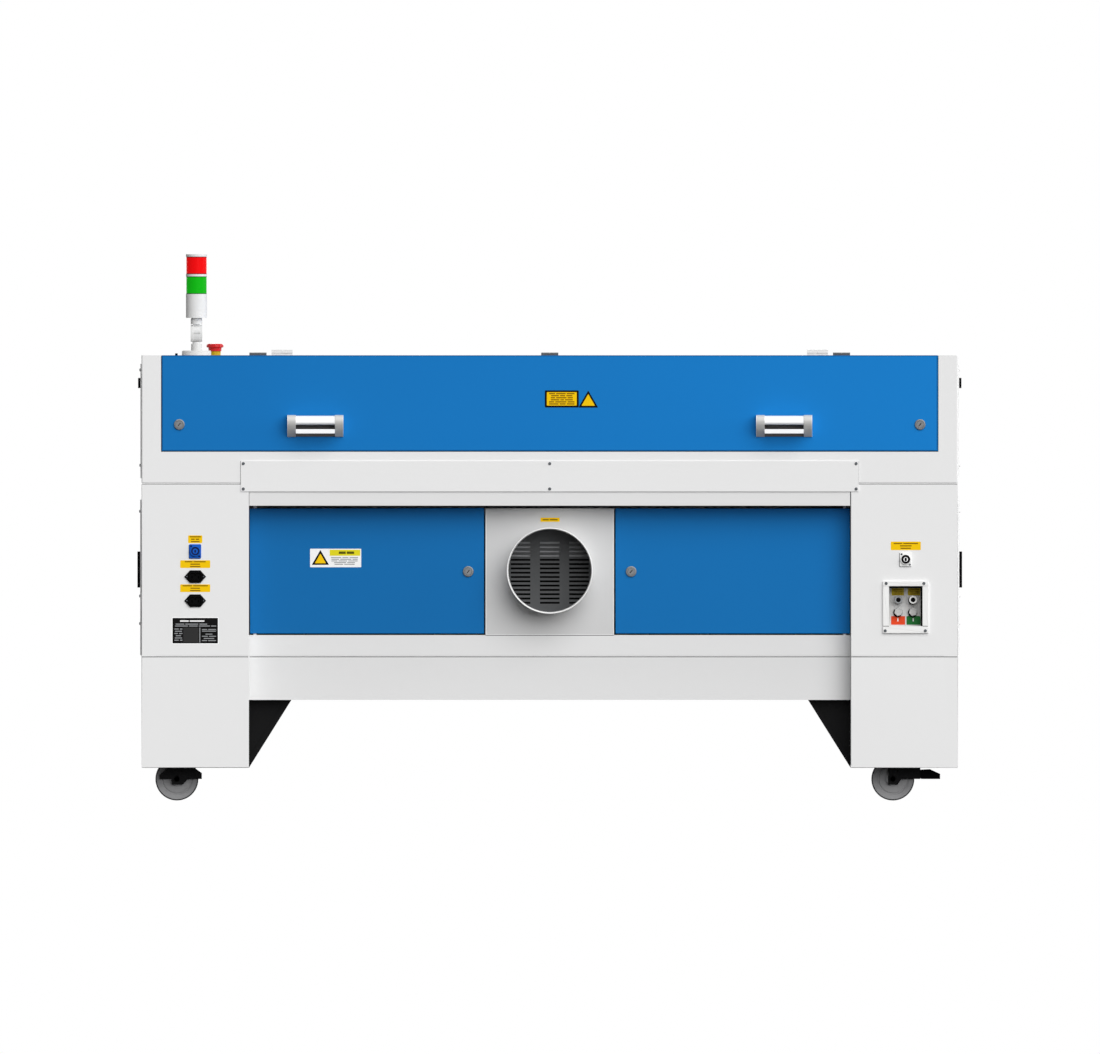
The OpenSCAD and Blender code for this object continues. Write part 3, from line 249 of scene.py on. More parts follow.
mix_finishes(  # key, name, colour, gloss, stretch, metal, spangle, shine
    worked_metal,
    ("dark_screw", "blackened screw steel", "#4c4f53", 0.4, 1.0, 0.7),
    ("steel", "brushed steel", "#cfd1d3", 0.35),
    ("hinge_steel", "dull hinge steel", "#505254", 0.5, BRUSHED, 0.3, 0.06, 0.15),
    ("zinc_steel", "zinc plated steel", "#9a9da0", 0.42, 1.0, 1.0, 0.12),
    ("socket_steel", "nickel plated collar", "#8a8c8e", 0.45, BRUSHED, 0.2, 0.06, 0.2),
    ("aluminium", "satin aluminium", "#c9cbcd", 0.42, BRUSHED, 1.0, 0.02),
    ("bright_bar", "bright anodised bar", "#f4f5f6", 0.4, BRUSHED, 0.0, 0.01),
    ("lock_chrome", "satin chrome plate", "#6c6e71", 0.35, 1.0, 0.4, 0.06, 0.3),
)

# %% [markdown]
# ## Rubber, glass and acrylic
# The tyres are grey thermoplastic rubber with a dusty, mottled skin. The laser tube is borosilicate glass,
# and the lid's window is amber acrylic that stops the beam's stray light. Both are clear bodies with a real
# wall, so transmission and their IOR do the work, and faint waves keep their reflections from being perfect.
# The window is coated against glare, so its index is set close to that of air.

# %% Tyres, tube and window
DUST_MM = 16
PIT_MM = 1.8
WAVE_MM = 60


def rolled_rubber(name, code, dust_code):
    """Grey rubber with patches of dust. Its gloss is even, so it has no swing."""
    material, tree, place = new_material(name)
    speckled = {"Scale": 1000 / DUST_MM, "Detail": 5.0, "Roughness": 0.6}
    dust = add_node(tree, "TexNoise", {"Vector": place} | speckled)
    pits = add_node(tree, "TexNoise", {"Vector": place, "Scale": 1000 / PIT_MM, "Detail": 2.0})
    tones = (dust, linear(code), linear(dust_code))
    join_surface(tree, tones, (None, 0.62, 0), (pits, 0.3, 0.1), {"Specular IOR Level": 0.15})
    return material


def clear_body(name, code, ior, gloss):
    """Glass or acrylic with a faint wave in its surface."""
    material, tree, place = new_material(name)
    wave = add_node(tree, "TexNoise", {"Vector": place, "Scale": 1000 / WAVE_MM, "Detail": 1.0})
    bump = add_node(tree, "Bump", {"Height": wave, "Strength": 0.1, "Distance": 0.2 * MM})
    sockets = {"Base Color": linear(code), "Roughness": gloss, "IOR": ior, "Transmission Weight": 1.0}
    body = add_node(tree, "BsdfPrincipled", sockets | {"Normal": bump})
    add_node(tree, "OutputMaterial", {"Surface": body})
    return material


rubbers = (
    ("wheel_rubber", "grey caster rubber", "#98989a", "#a8a8a9"),
    ("tread", "dark tread rubber", "#3b3c3e", "#4c4d4f"),
)
clear = (  # key, name, colour, IOR, gloss
    ("laser_glass", "borosilicate glass", "#f2f8fa", 1.47, 0.03),
    ("amber_acrylic", "amber acrylic", "#c46a2c", 1.07, 0.06),
)
mix_finishes(rolled_rubber, *rubbers)
mix_finishes(clear_body, *clear)

# %% [markdown]
# ## Put the finishes on the CAD parts
# Each CAD part already names the material slot that it uses, so one loop dresses the whole machine. Two
# parts take a darker tone than their neighbours: the tower column is moulded in a darker white, and the
# centre box is painted a darker white as painted shade for its place in the recess between the pedestals.
# The parts that get a finer stand-in later are dressed as well, which does no harm.

# %% Dress every CAD part
own_tone_and_painted_shade = {"centre_box": "box_paint", "tower_column": "tower_plastic"}
for name, part in nodes.items():
    for place in part.material_slots:
        place.material = finishes[own_tone_and_painted_shade.get(name, place.material.name.split(".")[0])]
print("dressed", len(nodes), "parts")

# %% [markdown]
# ## Tools for new pieces
# New pieces are drawn in millimetres, like the CAD, and turned to metres at the end. Most are one of two
# kinds: a flat outline pushed into a solid, as a plate is cut, or a profile spun about an axis, as a lathe
# turns it. A small bevel on the edges catches light, which is what makes an edge look made.

# %% Cut, turn and fit
UP, REARWARD = (0, 0, 1), (0, 1, 0)
MERGE_MM = 0.001


def is_vertex(item):
    return isinstance(item, bmesh.types.BMVert)


def each_once(items):
    """The items without repeats, in the order they came, so that every run makes the same mesh."""
    return list(dict.fromkeys(items))


def about(middle, half):
    """The two values that lie half to each side of a middle."""
    return middle - half, middle + half


def add_object(name, data):
    """Put an object in the scene."""
    made = bpy.data.objects.new(name, data)
    bpy.context.scene.collection.objects.link(made)
    return made


def round_off(bm, edges, radius, steps):
    """Bevel edges to a round."""
    return bmesh.ops.bevel(
        bm, geom=edges, offset=radius, affect="EDGES", segments=steps, profile=0.5, material=-1
    )


def push_outline(bm, corners, along, corner=0.0, edge=0.0):
    """A closed solid from a flat outline. Corner rounds the outline, and edge softens both faces."""
    along = Vector(along)
    face = bm.faces.new([bm.verts.new(Vector(c)) for c in corners])
    far = [g for g in bmesh.ops.extrude_face_region(bm, geom=[face])["geom"] if is_vertex(g)]
    bmesh.ops.translate(bm, vec=along, verts=far)
    faces = each_once([face] + [f for v in far for e in v.link_edges for f in e.link_faces])
    bmesh.ops.recalc_face_normals(bm, faces=faces)
    if corner:
        sides = [e for v in far for e in v.link_edges if e.other_vert(v) not in far]
        made = round_off(bm, sides, corner, 4)
        faces = each_once([f for f in faces if f.is_valid] + list(made["faces"]))
    if edge:
        rims = [
            e
            for e in each_once(e for f in faces for e in f.edges)
            if abs((e.verts[1].co - e.verts[0].co).normalized().dot(along.normalized())) < 0.5
        ]
        round_off(bm, rims, edge, 2)


def push_block(bm, x, y, z, corner=0.0, edge=0.0):
    """A plate between two values on each axis, pushed along Y."""
    outline = [(x[0], y[0], z[0]), (x[1], y[0], z[0]), (x[1], y[0], z[1]), (x[0], y[0], z[1])]
    push_outline(bm, outline, (0, y[1] - y[0], 0), corner, edge)


def push_frame(bm, inner, outer, y, posts_z, rails_x, corner=0.0, edge=0.0):
    """Four bars between two rectangles, each given by its x and z: two posts at the sides and two rails."""
    (in_x, in_z), (out_x, out_z) = inner, outer
    for near, far in ((out_x[0], in_x[0]), (in_x[1], out_x[1])):
        push_block(bm, (near, far), y, posts_z, corner, edge)
    for low, high in ((out_z[0], in_z[0]), (in_z[1], out_z[1])):
        push_block(bm, rails_x, y, (low, high), corner, edge)


def turn_profile(bm, profile, centre, axis=REARWARD, steps=48):
    """Spin (radius, distance) points about an axis. A profile that leaves the axis is closed to a ring."""
    axis, centre = Vector(axis), Vector(centre)
    side = axis.orthogonal().normalized()
    before = set(bm.verts)
    verts = [bm.verts.new(centre + side * r + axis * d) for r, d in profile]
    edges = [bm.edges.new(pair) for pair in zip(verts, verts[1:])]
    if profile[0][0] > 0 and profile[-1][0] > 0:
        edges.append(bm.edges.new((verts[-1], verts[0])))
    bmesh.ops.spin(
        bm, geom=verts + edges, cent=centre, axis=axis, angle=math.tau, steps=steps, use_merge=True
    )
    made = [v for v in bm.verts if v not in before]
    bmesh.ops.remove_doubles(bm, verts=made, dist=MERGE_MM)
    faces = each_once(f for v in bm.verts if v not in before for f in v.link_faces)
    bmesh.ops.recalc_face_normals(bm, faces=faces)


def fit_piece(bm, name, finish, stands_for=(), body="housing", crease=35):
    """Make the mesh a piece in metres, give it one or more finishes by name and fix it to its body."""
    bmesh.ops.scale(bm, vec=(MM, MM, MM), verts=bm.verts)
    mesh = bpy.data.meshes.new(name)
    bm.to_mesh(mesh)
    bm.free()
    piece = add_object(name, mesh)
    for key in (finish,) if isinstance(finish, str) else finish:
        mesh.materials.append(finishes[key])
    mesh.shade_smooth()
    mesh.set_sharp_from_angle(angle=math.radians(crease))
    flatter = piece.modifiers.new("flat faces lead the shading", "WEIGHTED_NORMAL")
    flatter.keep_sharp = True
    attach(piece, body)
    if stands_for:
        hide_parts(*stands_for)
    print("made", name, "faces", len(mesh.polygons))


def box_mm(part):
    """Lowest and highest corner of a CAD part in millimetres."""
    low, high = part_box(part)
    return low / MM, high / MM


half_x, half_y = 950.0, 700.0
foot_z = box_mm("pedestal_right")[0].z
deck_z = box_mm("upper_housing")[1].z
print("cabinet from", round(foot_z, 1), "to", round(deck_z, 1), "mm above the floor")

# %% [markdown]
# ## Folded housings
# A press brake can't fold steel to a sharp edge: the outer corners have a radius of about 3 mm on the housing
# and half of that on the pedestals. The CAD parts have sharp corners, so a merged copy of each takes a bevel
# there. The flat triangles are first dissolved into whole panels, so that the bevel meets nothing but real
# edges. The deck, which faces the lamps, takes a duller coat of the same white, painted a little darker as
# painted shade to hold back the light it gets.

# %% Soften the outer folds
NEAR_MM = 0.05


def merged_copy(part):
    """A CAD part's mesh in millimetres, merged and with its flat triangles made whole panels."""
    bm = bmesh.new()
    bm.from_mesh(nodes[part].data)
    bmesh.ops.scale(bm, vec=(1000, 1000, 1000), verts=bm.verts)
    bmesh.ops.remove_doubles(bm, verts=bm.verts, dist=0.01)
    bmesh.ops.dissolve_limit(
        bm, angle_limit=math.radians(0.2), verts=bm.verts, edges=bm.edges, use_dissolve_boundaries=False
    )
    return bm


def soften(bm, chosen, radius, steps=4):
    """Bevel the edges whose two ends both pass a test."""
    edges = [e for e in bm.edges if all(chosen(v.co) for v in e.verts)]
    round_off(bm, edges, radius, steps)
    return len(edges)


def second_finish(bm, chosen):
    """Give the faces that pass a test the piece's second finish."""
    for face in bm.faces:
        if chosen(face):
            face.material_index = 1


def on_outer_corner(co):
    return abs(abs(co.x) - half_x) < NEAR_MM and abs(abs(co.y) - half_y) < NEAR_MM


def on_foot_rim(co):
    return abs(co.z - foot_z) < NEAR_MM and abs(abs(co.y) - half_y) < 3


def on_deck(face):
    return face.normal.z > 0.95 and abs(face.calc_center_median().z - deck_z) < 0.5


for part, fold_r in (("upper_housing", 3.2), ("pedestal_right", 1.4), ("pedestal_left", 1.4)):
    bm = merged_copy(part)
    print(part, "edges rounded", soften(bm, on_outer_corner, fold_r))
    if part != "upper_housing":
        soften(bm, on_foot_rim, 1.5, steps=2)
    second_finish(bm, on_deck)
    fit_piece(bm, part + "_folded", ("white_paint", "deck_paint"), [part])

# %% [markdown]
# ## Cover, lid and doors
# These panels are 2 mm sheet with a small radius where the shears and the brake left it. Everything on them
# that stands above the deck is hinge, so those faces take a second finish: dull steel on the cover, which
# is screwed on after painting, and light grey on the lid, whose hinges are painted. The fixed leaves on the
# deck match. A strip of darker blue runs round the cover's rim: painted shade where the folded edge turns
# away from the light. The doors take a darker copy of the blue, painted shade for their recess.

# %% Soften the painted panels and finish their hinges
SHEET_R = 1.2
LID_HINGE_X, LID_HINGE_HALF = 623, 26
recess_y = 645.0
cover_low, cover_high = box_mm("rear_cover")


def above_deck(face):
    return face.calc_center_median().z > deck_z + NEAR_MM


def on_lid(face):
    return abs(abs(face.calc_center_median().x) - LID_HINGE_X) < LID_HINGE_HALF


for part, axis, rim, paint, hinge in (
    ("rear_cover", 1, cover_high.y, "blue_paint", "hinge_steel"),
    ("lid", 0, box_mm("lid")[1].x, "blue_paint", "grey_paint"),
    # the doors take the darker blue, painted shade for their recess
    ("rear_door_right", 1, recess_y, "door_paint", "hinge_steel"),
    ("rear_door_left", 1, recess_y, "door_paint", "hinge_steel"),
):
    bm = merged_copy(part)
    soften(bm, lambda co: abs(abs(co[axis]) - rim) < NEAR_MM, SHEET_R, steps=2)
    second_finish(bm, above_deck)
    fit_piece(bm, part + "_sheet", (paint, hinge), [part], body=part)
bm = merged_copy("hinge_leaves")
second_finish(bm, on_lid)
fit_piece(bm, "fixed_hinge_leaves", ("hinge_steel", "grey_paint"), ["hinge_leaves"])

# %% Paint shade on the cover's rim, and highlights and a shadow line on the exhaust panel
RIM_INSET, RIM_W, RIM_SUNK, RIM_PROUD = 0.8, 1.7, 0.4, 0.1
rim_x = (cover_low.x + RIM_INSET, cover_high.x - RIM_INSET)
rim_y = (cover_high.y - RIM_SUNK, cover_high.y + RIM_PROUD)
rim_z = (cover_low.z + RIM_INSET, deck_z - RIM_SUNK)
inner_x, inner_z = ((low + RIM_W, high - RIM_W) for low, high in (rim_x, rim_z))
bm = bmesh.new()
push_frame(bm, (inner_x, inner_z), (rim_x, rim_z), rim_y, rim_z, inner_x)
fit_piece(bm, "cover_rim", "rim_paint", body="rear_cover")

# the exhaust panel's folds are strips of white paint on its grey: painted highlights along its edges; the
# dark strip under the panel is a painted shadow line
panel_low, panel_high = box_mm("exhaust_panel")
fold_y = (panel_high.y - 0.2, panel_high.y + 0.25)
fold_w, fold_inset, fold_foot = 1.8, 0.4, 2
bm = bmesh.new()
for x in (panel_low.x + fold_inset, panel_high.x - fold_inset - fold_w):
    push_block(bm, (x, x + fold_w), fold_y, (panel_low.z + fold_foot, panel_high.z - 1))
fold_x = (panel_low.x + fold_inset, panel_high.x - fold_inset)
push_block(bm, fold_x, fold_y, (panel_low.z + fold_inset, panel_low.z + fold_foot))
fit_piece(bm, "panel_fold_highlights", "white_paint")
bm = bmesh.new()
gap_y, gap_z = (panel_high.y, panel_high.y + 0.2), (panel_low.z - 1.2, panel_low.z)
push_block(bm, (panel_low.x, panel_high.x), gap_y, gap_z)
fit_piece(bm, "panel_gap", "dark_paint")

# %% [markdown]
# ## Shadow lines between the sheets
# Where two folded sheets meet, the gap between them is deep and takes no light. From a few metres it is only
# a thin dark line, yet it tells the eye that the cabinet is made of separate panels. Each line here is a
# strip as wide as its gap, laid a hair proud of the wall.

# %% Rule the shadow lines
SUNK, PROUD = 0.4, 0.15
low_seam_z, top_seam_z, plate_foot_z = (333.4, 335.0), (735.5, 736.6), 737.2
bm = bmesh.new()
for part in ("pedestal_right", "centre_box", "pedestal_left"):
    low, high = box_mm(part)
    for seam_z in (low_seam_z,) if part == "centre_box" else (low_seam_z, top_seam_z):
        push_block(bm, (low.x + 1.6, high.x - 1.6), (high.y - SUNK, high.y + PROUD), seam_z)
joint_low, joint_high = box_mm("joint_plate")
for x, width, seam_z in (
    (joint_high.x, 0.8, (plate_foot_z, joint_high.z)),
    (joint_low.x - 0.4, 0.4, (plate_foot_z, joint_high.z)),
    (-701.4, 1.2, (foot_z + 6, joint_low.z - 1)),
):
    push_block(bm, (x, x + width), (half_y - SUNK, half_y + PROUD), seam_z)
fit_piece(bm, "sheet_seams", "dark_paint")

# %% [markdown]
# ## Exhaust spigot
# A fan's hose is clamped on this collar. It is spun from thin sheet: a foot flange, a straight wall and a
# rolled bead at the mouth, which stiffens the edge and shows as a bright ring. Spinning one profile gives
# three all at once.

# %% Turn the exhaust spigot
spigot_low, spigot_high = box_mm("exhaust_spigot")
spigot_centre = ((spigot_low.x + spigot_high.x) / 2, spigot_low.y, (spigot_low.z + spigot_high.z) / 2)
spigot_r = (spigot_high.x - spigot_low.x) / 2
spigot_length = spigot_high.y - spigot_low.y
bead_r, bead_start, bead_sweep, bead_steps = 1.1, -118, 298, 18
bead = [
    (spigot_r - bead_r + bead_r * math.cos(a), spigot_length - bead_r + bead_r * math.sin(a))
    for a in [math.radians(bead_start + bead_sweep * i / bead_steps) for i in range(bead_steps + 1)]
]
foot = [(spigot_r - 2.4, 0), (spigot_r - 0.5, 0), (spigot_r - 0.5, 1.4), (spigot_r - 1.9, 1.4)]
bm = bmesh.new()
turn_profile(bm, foot + bead, spigot_centre, steps=96)
fit_piece(bm, "spigot_collar", "cream_paint", ["exhaust_spigot"])

# %% Paint shade behind the grille: a dull black plate, and a grey fan housing above it
duct_x, duct_y = about(0, 106), (610, 639)
for name, z in (("duct_black", (427, 565)), ("duct_grey", (565, 640))):
    bm = bmesh.new()
    push_block(bm, duct_x, duct_y, z)
    fit_piece(bm, name, name)

# %% [markdown]
# ## Pull handles
# Each pull is two die-cast end caps with two bars between them, over a dark finger tray. A thin cheek of
# white plastic closes each end, a painted highlight along the caps' outer edge. The caps tilt out at the top
# and cut back below, so they run from bright to grey.
# The caps and bars are outlines in side view, pushed along X. Each point tells how far it lies back from the
# handle's outermost line, and how far up or down from its lowest or highest one.

# %% Build the pull handles
handle_low, handle_high = box_mm("cover_handles")
cover_y = cover_high.y
handle_x, half_w, cap_w, cheek_w = 545.5, 65.2, 19.8, 1.8
z_low, z_high, y_out = handle_low.z, handle_high.z, handle_high.y
cap_curve = (
    (33, 1.2), (14.8, 15), (10, 19), (4.2, 26), (1.3, 31), (0.3, 35.5), (0, 38), (0.6, 41.5), (2.2, 44.8),
    (5.2, 48), (10, 50.2), (17, 51),
)
top_curve = (
    (26, 2.5), (12, 1.7), (5, 5), (2.2, 11), (1, 17.5), (2.8, 20.5), (7, 22.8), (11, 22.8), (11, 17), (13, 8),
    (26, 5.5),
)
low_curve = ((16, 7.4), (3, 7.4), (1, 8.4), (1, 17), (2.4, 18.1), (5, 18.1), (5, 10.6), (16, 10.6))
cap_side = [(cover_y, z_low)] + [(y_out - back, z_low + up) for back, up in cap_curve] + [(cover_y, z_high)]
top_bar = [(y_out - back, z_high - down) for back, down in top_curve]
low_bar = [(y_out - back, z_low + up) for back, up in low_curve]
caps, bars, trays, cheek_highlights = (bmesh.new() for _ in range(4))
for centre in (-handle_x, handle_x):
    for side in (-1, 1):
        end, inner = centre + side * (half_w - cheek_w), centre + side * (half_w - cap_w)
        push_outline(caps, [(inner, y, z) for y, z in cap_side], (end - inner, 0, 0), edge=0.6)
        push_outline(cheek_highlights, [(end, y, z) for y, z in cap_side], (side * cheek_w, 0, 0), edge=0.5)
    inner = centre - half_w + cap_w
    length = 2 * (half_w - cap_w)
    for outline in (top_bar, low_bar):
        push_outline(bars, [(inner, y, z) for y, z in outline], (length, 0, 0))
    push_block(trays, (inner, inner + length), (cover_y, cover_y + 2), (z_low + 1, z_high - 3), edge=0.4)
fit_piece(caps, "handle_caps", "cast_cap", ["cover_handles"], body="rear_cover", crease=40)
fit_piece(bars, "handle_bars", "bright_bar", body="rear_cover", crease=50)
fit_piece(cheek_highlights, "handle_cheek_highlights", "white_plastic", body="rear_cover", crease=40)
fit_piece(trays, "handle_trays", "finger_tray", body="rear_cover")

# %% [markdown]
# ## Cam locks
# A cam lock is turned on a lathe: a barrel through the panel, a flange with a rounded rim, and a plug that
# carries the keyway. The cam behind hangs down when the lock is open. The profile is spun once for each
# lock, and the keyway is drawn as a thin dark plate set at a slant: painted shade for the slot.

# %% Turn the cam locks
KEYWAY_TILT = math.radians(-38)
FLANGE_R, FLANGE_MM = 12.5, 4


def cam_lock(part):
    """One lock in place of its CAD part, with its keyway as a dark plate of painted shade."""
    low, high = box_mm(part)
    face_y = high.y - FLANGE_MM
    x, z = (low.x + high.x) / 2, high.z - FLANGE_R
    deep = face_y - low.y
    bm = bmesh.new()
    profile = [
        (0, -deep), (8, -deep), (8, 0), (FLANGE_R, 0), (FLANGE_R, 2.6), (12.1, 3.5), (11.2, FLANGE_MM),
        (9.4, FLANGE_MM), (8.9, 3.2), (7.9, 3.2), (7.5, 3.8), (0, 3.8),
    ]
    turn_profile(bm, profile, (x, face_y, z), steps=40)
    push_block(bm, about(x, 7), (low.y, low.y + 3), (low.z, z + 6), corner=5, edge=0.4)
    fit_piece(bm, part + "_turned", "lock_chrome", [part], body=part)
    slot = bmesh.new()
    push_block(slot, about(0, 0.9), (face_y + 3.6, face_y + 3.86), about(0, 4.6))
    turned = Matrix.Translation((x, 0, z)) @ Matrix.Rotation(KEYWAY_TILT, 4, "Y")
    bmesh.ops.transform(slot, matrix=turned, verts=slot.verts)
    fit_piece(slot, part + "_keyway", "keyway", body=part)


for part in ("cover_lock_right", "cover_lock_left", "door_lock_right", "door_lock_left"):
    cam_lock(part)

# %% [markdown]
# ## Machine screws
# The plates are held by button-head screws with a hexagon socket. One screw is modelled with care: a domed
# head spun from a profile, a six-sided socket sunk in it, and the two rims bridged. Then it is copied to
# each place, turned to stand on its own face.

# %% Model one screw and drive the rest
SOCKET_R, SOCKET_RIM, SOCKET_DEPTH = 1.6, 2.3, 1.4


def button_screw():
    """A domed head that stands on z = 0, 7.2 mm across, with a hexagon socket."""
    bm = bmesh.new()
    dome = [(3.6, 0.0), (3.6, 0.5), (3.4, 1.3), (2.9, 1.95), (2.3, 2.3), (1.9, 2.4)]
    verts = [bm.verts.new((r, 0, d)) for r, d in dome]
    edges = [bm.edges.new(pair) for pair in zip(verts, verts[1:])]
    bmesh.ops.spin(bm, geom=verts + edges, axis=UP, angle=math.tau, steps=24, use_merge=True)
    bmesh.ops.remove_doubles(bm, verts=bm.verts, dist=MERGE_MM)
    rim = [e for e in bm.edges if e.is_boundary and e.verts[0].co.z > 2]
    socket = bmesh.ops.create_circle(bm, segments=6, radius=SOCKET_R)["verts"]
    bmesh.ops.translate(bm, vec=(0, 0, SOCKET_RIM), verts=socket)
    mouth = each_once(e for v in socket for e in v.link_edges)
    sunk = bmesh.ops.extrude_edge_only(bm, edges=mouth)["geom"]
    bmesh.ops.translate(bm, vec=(0, 0, -SOCKET_DEPTH), verts=[g for g in sunk if is_vertex(g)])
    bmesh.ops.contextual_create(bm, geom=[g for g in sunk if isinstance(g, bmesh.types.BMEdge)])
    bmesh.ops.bridge_loops(bm, edges=rim + mouth)
    foot = [e for e in bm.edges if e.is_boundary]
    bmesh.ops.contextual_create(bm, geom=foot)
    bmesh.ops.recalc_face_normals(bm, faces=bm.faces)
    mesh = bpy.data.meshes.new("button_screw")
    bm.to_mesh(mesh)
    bm.free()
    return mesh


screw_mesh = button_screw()


def drive_screw(bm, place, outward=REARWARD, size=1.0):
    """Copy the screw to a place, with its head along outward."""
    turned = Vector(outward).to_track_quat("Z", "Y").to_matrix().to_4x4()
    copy = screw_mesh.copy()
    copy.transform(Matrix.Translation(Vector(place)) @ turned @ Matrix.Scale(size, 4))
    bm.from_mesh(copy)
    bpy.data.meshes.remove(copy)


tray_low, tray_high = box_mm("port_tray")
bm = bmesh.new()
for x in (joint_low.x + 6, 0, joint_high.x - 6):
    for z in (joint_low.z + 6, joint_high.z - 6):
        drive_screw(bm, (x, joint_high.y, z))
for x, z in ((-783, 505.2), (-870.7, 505.2), (-780.7, 395), (-874, 395)):
    drive_screw(bm, (x, tray_high.y, z))
# the screws on the -X side, where the lamps stand, are white: painted light; their twins elsewhere stay dark
painted = bmesh.new()
for side, screws in ((-1, painted), (1, bm)):
    for face_x, ys, zs in ((953, (-560, 560), (412, 476, 673)), (952.5, (-418, 648), (780, 1002))):
        for y in ys:
            for z in zs:
                drive_screw(screws, (face_x * side, y, z), (side, 0, 0))
fit_piece(bm, "button_screws", "dark_screw", ["screws"])
fit_piece(painted, "lamp_side_screws_lit", "white_paint")

# %% [markdown]
# ## Power and service sockets
# The mains inlet is blue and the switched outlet is white, so that they can't be mixed up. Each is a moulded
# flange with a collar and a keyed centre boss. The deep gap between them and the keyed hole are painted dark
# as painted shade, and a dark plate behind the flange that shows past its +X and lower edges paints its
# shadow. The two pointed black sockets below feed the pump and the fan. Four flat pieces leave the opening
# of each flange, four walls stand round it, and a face with three slots lies inside; the slots are dull
# black strips of painted shade.

# %% Mould the round connectors
wall_y = half_y


def round_connector(name, x, z, finish, gap_shade_finish, gap_r, boss_r, hole_r, stands_for=()):
    """Flange, collar and boss in one colour. Painted shade in another: the deep gap, the keyed hole, and
    a plate behind the flange that shows past its +X and lower edges as its shadow.
    """
    bm = bmesh.new()
    push_block(bm, about(x, 13.9), (wall_y, wall_y + 2.4), about(z, 16.4), corner=2.5, edge=0.5)
    collar = [(gap_r, -8), (12, -8), (12, 6.6), (11.6, 7.7), (gap_r + 0.5, 7.9), (gap_r, 7.2)]
    turn_profile(bm, collar, (x, wall_y, z))
    boss = [(0, -8), (boss_r, -8), (boss_r, 5.4), (boss_r - 0.5, 6), (0, 6)]
    turn_profile(bm, boss, (x, wall_y, z))
    fit_piece(bm, name, finish, stands_for)
    gap = bmesh.new()
    turn_profile(gap, [(boss_r, 5), (gap_r, 5), (gap_r, -6), (boss_r, -6)], (x, wall_y, z))
    key = about(x, hole_r), (wall_y + 5, wall_y + 6.1), about(z, 1.6 * hole_r)
    push_block(gap, *key, corner=0.9 * hole_r)
    push_block(gap, (x - 13.2, x + 15), (wall_y, wall_y + 0.7), (z - 17.5, z + 15.6), corner=2.5)
    fit_piece(gap, name + "_gap", gap_shade_finish)


right_x = 825.0
inlet, outlet = (right_x, 580.0), (-828.4, 561.0)
round_connector("mains_inlet", *inlet, "blue_plastic", "navy_gap", 9.8, 6.2, 2.2, ["power_connectors"])
round_connector("mains_outlet", *outlet, "white_plastic", "black_gap", 10.4, 5.4, 2.6)
bm, navy = bmesh.new(), bmesh.new()
for (x, z), screws in ((inlet, navy), (outlet, bm)):
    for side in (1, -1):
        drive_screw(screws, (x + 9.6 * side, wall_y + 2.4, z + 12 * side), size=0.65)
fit_piece(navy, "inlet_screws", "navy_gap")

# %% Build the two black sockets
pump_z, fan_z = 521, 465
socket_x, wall_out, slot_y = about(right_x, 13), (wall_y, wall_y + 6), (wall_y + 1.4, wall_y + 1.6)
faces, slots, flanges = (bmesh.new() for _ in range(3))
for z in (pump_z, fan_z):
    for side in (-1, 1):
        point = [(25.2, 0), (18.1, -8), (13, -8), (13, 8), (18.1, 8)]
        brow = [(-18.1, 8), (-12.2, 14.7), (12.2, 14.7), (18.1, 8)]
        for corners, dx, dz in ((point, side, 1), (brow, 1, side)):
            outline = [(right_x + a * dx, wall_y, z + b * dz) for a, b in corners]
            push_outline(flanges, outline, (0, 3, 0))
        wall_x = sorted((right_x + 13 * side, right_x + 15 * side))
        wall_z = sorted((z + 8 * side, z + 10 * side))
        push_block(flanges, wall_x, wall_out, about(z, 10), edge=0.5)
        push_block(flanges, socket_x, wall_out, wall_z, edge=0.5)
    push_block(faces, about(right_x, 12.8), (wall_y - 9, wall_y + 1.5), about(z, 7.8), corner=1.5)
    for dx, dz, height in ((-7.5, -1.5, 6), (7.5, -1.5, 6), (0, 3.4, 5)):
        push_block(slots, about(right_x + dx, 1.1), slot_y, about(z + dz, height / 2))
    for dx in (-19.5, 19.5):
        drive_screw(bm, (right_x + dx, wall_y + 3, z), size=0.5)
fit_piece(flanges, "socket_flanges", "black_plastic", ["service_sockets"])
fit_piece(faces, "socket_faces", "black_gap")
# the slots are dull black strips: painted shade for the holes
fit_piece(slots, "socket_slots", "duct_black")
fit_piece(bm, "connector_screws", "dark_screw")

# %% [markdown]
# ## Water and air ports
# The ports stand in a sunk tray, so that hoses don't stick out. Above are two push-in sockets, one with a
# steel collar and one with a white one. Below are two plugs with six flats. Dark discs behind the plugs and
# the white socket, set off towards +X and down, are their painted shadows, and dark discs in the sockets'
# bores are painted shade.
# The tray's frame is four moulded bars with softened edges.

# %% Model the port tray
mouth_x, mouth_z = (-867.5, -789.6), (405.9, 498.6)
frame_x, frame_z = (-881, -775.4), (389.6, 510)
rails_z = (mouth_z[0] - 0.6, mouth_z[1] + 0.6)
back_x, back_z = ((low - 1.6, high + 1.6) for low, high in (mouth_x, mouth_z))
tray_y = 653.5
bm = bmesh.new()
push_frame(
    bm, (mouth_x, rails_z), (frame_x, frame_z), (half_y, tray_high.y), mouth_z, frame_x, corner=0.6, edge=0.8
)
fit_piece(bm, "port_frame", "white_plastic", ["port_tray"])
bm = bmesh.new()
push_frame(bm, (mouth_x, mouth_z), (back_x, back_z), (tray_y, half_y + 0.4), mouth_z, mouth_x)
push_block(bm, back_x, (tray_low.y, tray_y), back_z)
fit_piece(bm, "port_tray_moulded", "tray_plastic")
